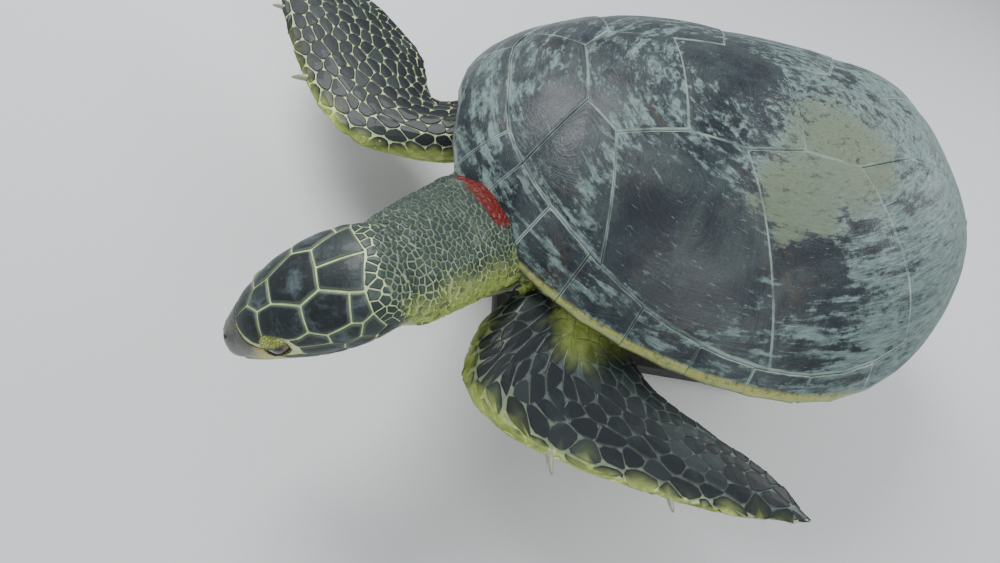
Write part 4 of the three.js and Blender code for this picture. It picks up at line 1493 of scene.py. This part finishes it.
def makeBeakMaterial():
    material, tree, surface = newMaterial("horn", {
        "Roughness": 0.38, "Coat Weight": 0.15, "Coat Roughness": 0.25,
    })
    place = objectPlace(tree)
    parts = []
    for axis, scale in (((1, 0, 0), 45), ((0, 1, 0), 190), ((0, 0, 1), 120)):
        along = vectorMaths(tree, "DOT_PRODUCT", place, headDirection(*axis))
        parts.append(maths(tree, "MULTIPLY", along, scale))
    drawn = combined(tree, *parts)
    streaks = noiseOn(tree, drawn, 1.0, 7, 0.66, 0.6)
    patchy = noiseOn(tree, place, 62, 6, 0.68, 0.9)
    grain = noiseOn(tree, place, 340, 4, 0.7)
    base = mottled(tree, patchy, 0.4, 0.62, (0.012, 0.015, 0.016), (0.055, 0.052, 0.03))
    for side in (1, -1):
        (u, v, w), radius = beakMarks["warm"]
        warm = spot(tree, place, onHead(u, side * v, w), radius, 0.45, 80)
        base = blended(tree, maths(tree, "MULTIPLY", warm, 0.85), base, colour(0.46, 0.34, 0.07))
        (u, v, w), radius = beakMarks["low"]
        low = spot(tree, place, onHead(u, side * v, w), radius, 0.4, 70)
        base = blended(tree, maths(tree, "MULTIPLY", low, 0.8), base, colour(0.42, 0.43, 0.15))
    tip = spot(tree, place, onHead(*beakMarks["tip"][0]), beakMarks["tip"][1], 0.4, 70)
    base = blended(tree, maths(tree, "MULTIPLY", tip, 0.85), base, colour(0.46, 0.53, 0.17))
    base = blended(tree, ranged(tree, streaks, 0.56, 0.72, 0, 0.6), base, colour(0.05, 0.04, 0.018))
    base = blended(tree, ranged(tree, streaks, 0.42, 0.3, 0, 0.22), base, colour(0.45, 0.42, 0.2))
    fine = blended(tree, ranged(tree, grain, 0.6, 0.75, 0, 0.25), base, colour(0.25, 0.25, 0.14))
    # Each nostril opening is painted near black: painted shade for the inside of the hole, which is only a
    # shallow dimple in the shape.
    for side in (1, -1):
        u, v, w = nostril["place"]
        paintedNostrilShade = spot(tree, place, onHead(u - 1.5, side * v, w), 0.0036, 0.05, 60)
        fine = blended(tree, paintedNostrilShade, fine, colour(0.004, 0.004, 0.004))
    tree.links.new(fine, surface.inputs["Base Color"])
    height = maths(tree, "ADD", maths(tree, "MULTIPLY", streaks, 1.2), maths(tree, "ADD", grain, patchy))
    bumped(tree, surface, height, 0.4, 0.0009)
    return material


beakMaterial = makeBeakMaterial()
makeBeak("beak_upper", True, beakMaterial)
makeBeak("beak_lower", False, beakMaterial)
print("beak made")

# Eyes and lids


def eyeFrame(side):
    outward = Vector((0.1, side, 0.1)).normalized()
    ahead = Vector((1, 0, math.tan(math.radians(eyeLook["tilt"])))).normalized()
    high = ahead.cross(outward) * -side
    high.normalize()
    ahead = outward.cross(high).normalized()
    turn = Matrix((ahead, high, outward)).transposed().to_4x4()
    return headFrame @ Matrix.Translation((eyeLook["u"], side * eyeLook["v"], eyeLook["w"])) @ turn


def makeEye(side, name, material):
    bm = bmesh.new()
    bmesh.ops.create_uvsphere(bm, u_segments=40, v_segments=28, radius=eyeLook["radius"])
    gaze = bm.verts.layers.float.new("gaze")
    for vert in bm.verts:
        vert[gaze] = vert.co.normalized().z
        vert.co.z += eyeLook["bulge"] * smoothStep(vert[gaze], 0.86, 1.0)
    bmesh.ops.transform(bm, matrix=eyeFrame(side), verts=bm.verts[:])
    bmesh.ops.recalc_face_normals(bm, faces=bm.faces[:])
    finishPiece(name.replace("_", "-"), meshOf(bm, name), material, [name])


lidLook = {"above": 0.35, "thick": 1.7, "upperTilt": 20, "lowerTilt": -21, "edge": 0.5, "lumps": 0.5}


def lidPlane(isUpper):
    tilt = math.radians(lidLook["upperTilt" if isUpper else "lowerTilt"])
    return Vector((0, math.cos(tilt), -math.sin(tilt)))


def makeLids(side, name, material):
    joined = bmesh.new()
    opening = joined.verts.layers.float.new("opening")
    radius = eyeLook["radius"] + lidLook["above"]
    for upper in (True, False):
        bm = bmesh.new()
        bmesh.ops.create_uvsphere(bm, u_segments=56, v_segments=40, radius=radius)
        cut = lidPlane(upper) * (1 if upper else -1)
        bmesh.ops.bisect_plane(bm, geom=allOf(bm), plane_co=(0, 0, 0), plane_no=cut, clear_inner=True)
        bmesh.ops.bisect_plane(bm, geom=allOf(bm), plane_co=(0, 0, -1), plane_no=(0, 0, 1), clear_inner=True)
        bm.normal_update()
        bmesh.ops.solidify(bm, geom=bm.faces[:], thickness=-lidLook["thick"])
        sharp = [e for e in bm.edges if e.calc_face_angle(0) > 0.9]
        bmesh.ops.bevel(bm, geom=sharp, offset=lidLook["edge"], segments=3, profile=0.5, affect="EDGES",
                        material=-1)
        joinInto(joined, bm)
    for vert in joined.verts:
        vert[opening] = abs(vert.co.dot(lidPlane(vert.co.y > 0)))
        vert.co += vert.co.normalized() * lidLook["lumps"] * noise.noise(vert.co * 0.45)
    bmesh.ops.transform(joined, matrix=eyeFrame(side), verts=joined.verts[:])
    bmesh.ops.recalc_face_normals(joined, faces=joined.faces[:])
    finishPiece(name, meshOf(joined, name), material, [])


def makeEyeMaterial():
    material, tree, surface = newMaterial("eyeGloss", {
        "Roughness": 0.06, "Coat Weight": 1.0, "Coat Roughness": 0.02,
    })
    gaze = attribute(tree, "gaze")
    place = objectPlace(tree)
    fleck = noiseOn(tree, place, 600, 3, 0.6)
    iris = blended(tree, fleck, colour(0.05, 0.035, 0.016), colour(0.13, 0.09, 0.04))
    base = blended(tree, ranged(tree, gaze, 0.93, 0.945), iris, colour(0.002, 0.002, 0.003))
    ringed = blended(tree, ranged(tree, gaze, 0.82, 0.8), base, colour(0.02, 0.018, 0.014))
    tree.links.new(ringed, surface.inputs["Base Color"])
    return material


def makeLidMaterial():
    material, tree, surface = newMaterial("lidSkin", {"Roughness": 0.45, "Coat Weight": 0.15})
    place = objectPlace(tree)
    patchy = noiseOn(tree, place, 150, 4, 0.65)
    cells = addNode(tree, "ShaderNodeTexVoronoi", {"Vector": place, "Scale": 420.0},
                    feature="DISTANCE_TO_EDGE")
    pads = ranged(tree, cells.outputs["Distance"], 0.02, 0.16)
    lime = mottled(tree, patchy, 0.3, 0.7, (0.22, 0.25, 0.035), (0.5, 0.55, 0.11))
    base = blended(tree, pads, colour(0.09, 0.1, 0.03), lime)
    rim = ranged(tree, attribute(tree, "opening"), 2.6, 1.2)
    base = blended(tree, maths(tree, "MULTIPLY", rim, 0.8), base, colour(0.035, 0.036, 0.026))
    tree.links.new(base, surface.inputs["Base Color"])
    bumped(tree, surface, maths(tree, "ADD", pads, patchy), 0.5, 0.0006)
    return material


eyeMaterial = makeEyeMaterial()
lidMaterial = makeLidMaterial()
for side, label in ((1, "left"), (-1, "right")):
    makeEye(side, f"eye_{label}", eyeMaterial)
    makeLids(side, f"lids-{label}", lidMaterial)
print("eyes and lids made")

# Claws

clawLook = {"rounds": 2, "root": 0.007}


# The wide end of a claw reaches into the limb, however far the skin has drawn in there.
def rootClaw(bm):
    centre = sum((v.co for v in bm.verts), Vector()) / len(bm.verts)
    inward = (skinTree.find_nearest(centre)[0] - centre).normalized()
    reach = [(v.co - centre).dot(inward) for v in bm.verts]
    low, high = min(reach), max(reach)
    for vert, along in zip(bm.verts, reach):
        vert.co += inward * clawLook["root"] * smoothStep(along, low, high)


def makeClaw(name, material):
    bm = solidCopy(name)
    for _ in range(clawLook["rounds"]):
        bmesh.ops.subdivide_edges(bm, edges=bm.edges[:], cuts=1, use_grid_fill=True)
        relax(bm, bm.verts[:])
    rootClaw(bm)
    finishPiece(name.replace("_", "-"), meshOf(bm, name), material, [name])


def makeClawMaterial():
    material, tree, surface = newMaterial("clawHorn", {"Roughness": 0.3, "Coat Weight": 0.3})
    grain = noiseOn(tree, objectPlace(tree), 220, 3)
    base = blended(tree, grain, colour(0.12, 0.13, 0.1), colour(0.42, 0.42, 0.3))
    tree.links.new(base, surface.inputs["Base Color"])
    return material


clawMaterial = makeClawMaterial()
for clawName in sorted(name for name in nodes if name.startswith("claw")):
    makeClaw(clawName, clawMaterial)
print("claws made")

# Belly plates

belly = {"depth": 76, "flankAt": 0.894, "seams": [0.205, 0.315, 0.455, 0.6, 0.735, 0.86]}
bellyPlate = {"gap": 0.35, "round": 2.2, "step": 6.0, "thick": 4.5, "fall": 0.8}


# The height of the belly's lower surface.
def bellyUnder(x, y):
    s = alongShell(y)
    across = min(1, abs(x) / max(1, shellHalf(s) * belly["flankAt"]))
    deep = belly["depth"] * max(0, 1 - abs((s - 0.48) / 0.56) ** 3.2) ** 0.7
    return rimRise(s) * 0.3 - 6 - (deep - 6) * (1 - across ** 3) ** 0.8


def makeBelly(material):
    whole = bmesh.new()
    whole.faces.new([whole.verts.new((p.x, p.y, 0)) for p in borderOf("plastron", lambda z: z < -0.2)])
    front = shell["length"] / 2
    cuts = [((0, s * shell["length"] - front, 0), (0, 1, 0)) for s in belly["seams"]]
    for planeAt, normal in cuts + [((0, 0, 0), (1, 0, 0))]:
        bmesh.ops.bisect_plane(whole, geom=allOf(whole), plane_co=planeAt, plane_no=normal)
    joined = bmesh.new()
    rng = random.Random(3)
    for face in whole.faces:
        outline = [v.co.xy for v in face.verts]

        def place(x, y, height):
            return at(x, y, bellyUnder(x, y) - height)

        plate = plateFrom(outline, place, dict(bellyPlate, tone=rng.random()))
        joinInto(joined, plate)
    whole.free()
    bmesh.ops.recalc_face_normals(joined, faces=joined.faces[:])
    finishPiece("plastron-plates", meshOf(joined, "plastronPlates"), material, ["plastron"])


def makeBellyMaterial():
    material, tree, surface = newMaterial("bellyHorn", {"Roughness": 0.4, "Coat Weight": 0.2})
    place = objectPlace(tree)
    patchy = noiseOn(tree, place, 22, 5, 0.6, 0.5)
    base = mottled(tree, patchy, 0.35, 0.65, (0.42, 0.36, 0.17), (0.62, 0.56, 0.34))
    edge = ranged(tree, attribute(tree, "rim"), 0.4, 0.0, 0, 0.6)
    base = blended(tree, edge, base, colour(0.2, 0.17, 0.09))
    tree.links.new(base, surface.inputs["Base Color"])
    bumped(tree, surface, noiseOn(tree, place, 180, 4), 0.3, 0.001)
    return material


makeBelly(makeBellyMaterial())
print("belly plates made")

# Stand

standLook = {
    "rods": ["stand_rod_front", "stand_rod_rear"], "radius": 12, "pad": 26, "padHeight": 6,
    "topPad": 14, "flare": 12, "clear": 1, "edge": 0.0009,
}


def makeRod(name, material):
    low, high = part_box(name)
    height = (high.z - low.z) * 1000
    radius, pad, padHeight = standLook["radius"], standLook["pad"], standLook["padHeight"]
    top, padAt = height - standLook["clear"], height - standLook["topPad"]
    profile = [(0, 0), (pad, 0), (pad, padHeight), (radius, padHeight + 4),
               (radius, padAt - standLook["flare"]), (pad, padAt), (pad, top), (0, top)]
    bm = bmesh.new()
    points = [bm.verts.new((r * 0.001, 0, z * 0.001)) for r, z in profile]
    edges = [bm.edges.new(pair) for pair in zip(points, points[1:])]
    bmesh.ops.spin(bm, geom=points + edges, axis=(0, 0, 1), cent=(0, 0, 0), steps=48, angle=math.tau,
                   use_merge=True)
    bmesh.ops.remove_doubles(bm, verts=bm.verts[:], dist=0.00001)
    bmesh.ops.recalc_face_normals(bm, faces=bm.faces[:])
    sharp = [e for e in bm.edges if e.calc_face_angle(0) > 0.5]
    bmesh.ops.bevel(bm, geom=sharp, offset=standLook["edge"], segments=2, profile=0.5, affect="EDGES",
                    material=-1)
    bmesh.ops.translate(bm, verts=bm.verts[:], vec=((low.x + high.x) / 2, (low.y + high.y) / 2, low.z))
    finishPiece(name.replace("_", "-"), meshOf(bm, name), material, [name])


def makeSteel():
    material, tree, surface = newMaterial("brushedSteel", {
        "Metallic": 1.0, "Base Color": colour(0.55, 0.56, 0.57),
    })
    drawn = addNode(tree, "ShaderNodeMapping", {"Vector": objectPlace(tree), "Scale": (1, 1, 40)})
    brush = noiseOn(tree, drawn.outputs[0], 60, 3)
    tree.links.new(ranged(tree, brush, 0.3, 0.7, 0.24, 0.42), surface.inputs["Roughness"])
    return material


def makePaint():
    material, tree, surface = newMaterial("blackPaint", {"Base Color": colour(0.018, 0.018, 0.02)})
    grain = noiseOn(tree, objectPlace(tree), 90, 4)
    tree.links.new(ranged(tree, grain, 0.3, 0.7, 0.34, 0.5), surface.inputs["Roughness"])
    bumped(tree, surface, grain, 0.1, 0.0006)
    return material


steel = makeSteel()
for rodName in standLook["rods"]:
    makeRod(rodName, steel)
baseMesh = meshOf(solidCopy("stand_base"), "stand_base")
finishPiece("stand-base", baseMesh, makePaint(), ["stand_base"], False)
print("stand made")

# Floor, light and camera

studio = {
    "camera": (0.47918, -0.29038, 0.72972),
    "right": (-0.049925, 0.96085159, 0.27252836),
    "up": (-0.84950697, -0.18434536, 0.49432247),
    "back": (0.52520987, -0.20683569, 0.82545357),
    "lens": 21.564,
    "floor": 40,
    "sky": 0.5,
    "lamps": [((-0.7, -0.9, 1.7), 0.9, 44), ((1.5, 0.3, 1.5), 1.0, 16), ((-0.5, 1.7, 1.4), 1.0, 22)],
}


def makeStudio():
    bm = bmesh.new()
    bmesh.ops.create_grid(bm, x_segments=1, y_segments=1, size=studio["floor"])
    floor = bpy.data.objects.new("floor", meshOf(bm, "floor"))
    bpy.context.scene.collection.objects.link(floor)
    pale, _, _ = newMaterial("paleFloor", {"Base Color": colour(0.62, 0.64, 0.65), "Roughness": 0.8})
    floor.data.materials.append(pale)
    world = bpy.data.worlds.new("studio")
    bpy.context.scene.world = world
    world.use_nodes = True
    sky = world.node_tree.nodes["Background"]
    sky.inputs["Color"].default_value = colour(0.9, 0.95, 1)
    sky.inputs["Strength"].default_value = studio["sky"]
    for i, (place, size, power) in enumerate(studio["lamps"]):
        data = bpy.data.lights.new(f"softbox{i}", "AREA")
        data.energy = power
        data.size = size
        lamp = bpy.data.objects.new(f"softbox{i}", data)
        lamp.location = place
        lamp.rotation_euler = (Vector((0, 0, 0.2)) - Vector(place)).to_track_quat("-Z", "Y").to_euler()
        bpy.context.scene.collection.objects.link(lamp)
    data = bpy.data.cameras.new("camera")
    data.lens = studio["lens"]
    data.sensor_width = 36
    data.clip_start = 0.01
    camera = bpy.data.objects.new("camera", data)
    turn = Matrix((studio["right"], studio["up"], studio["back"])).transposed()
    camera.matrix_world = Matrix.Translation(studio["camera"]) @ turn.to_4x4()
    bpy.context.scene.collection.objects.link(camera)
    bpy.context.scene.camera = camera


makeStudio()
print("floor, light and camera set")
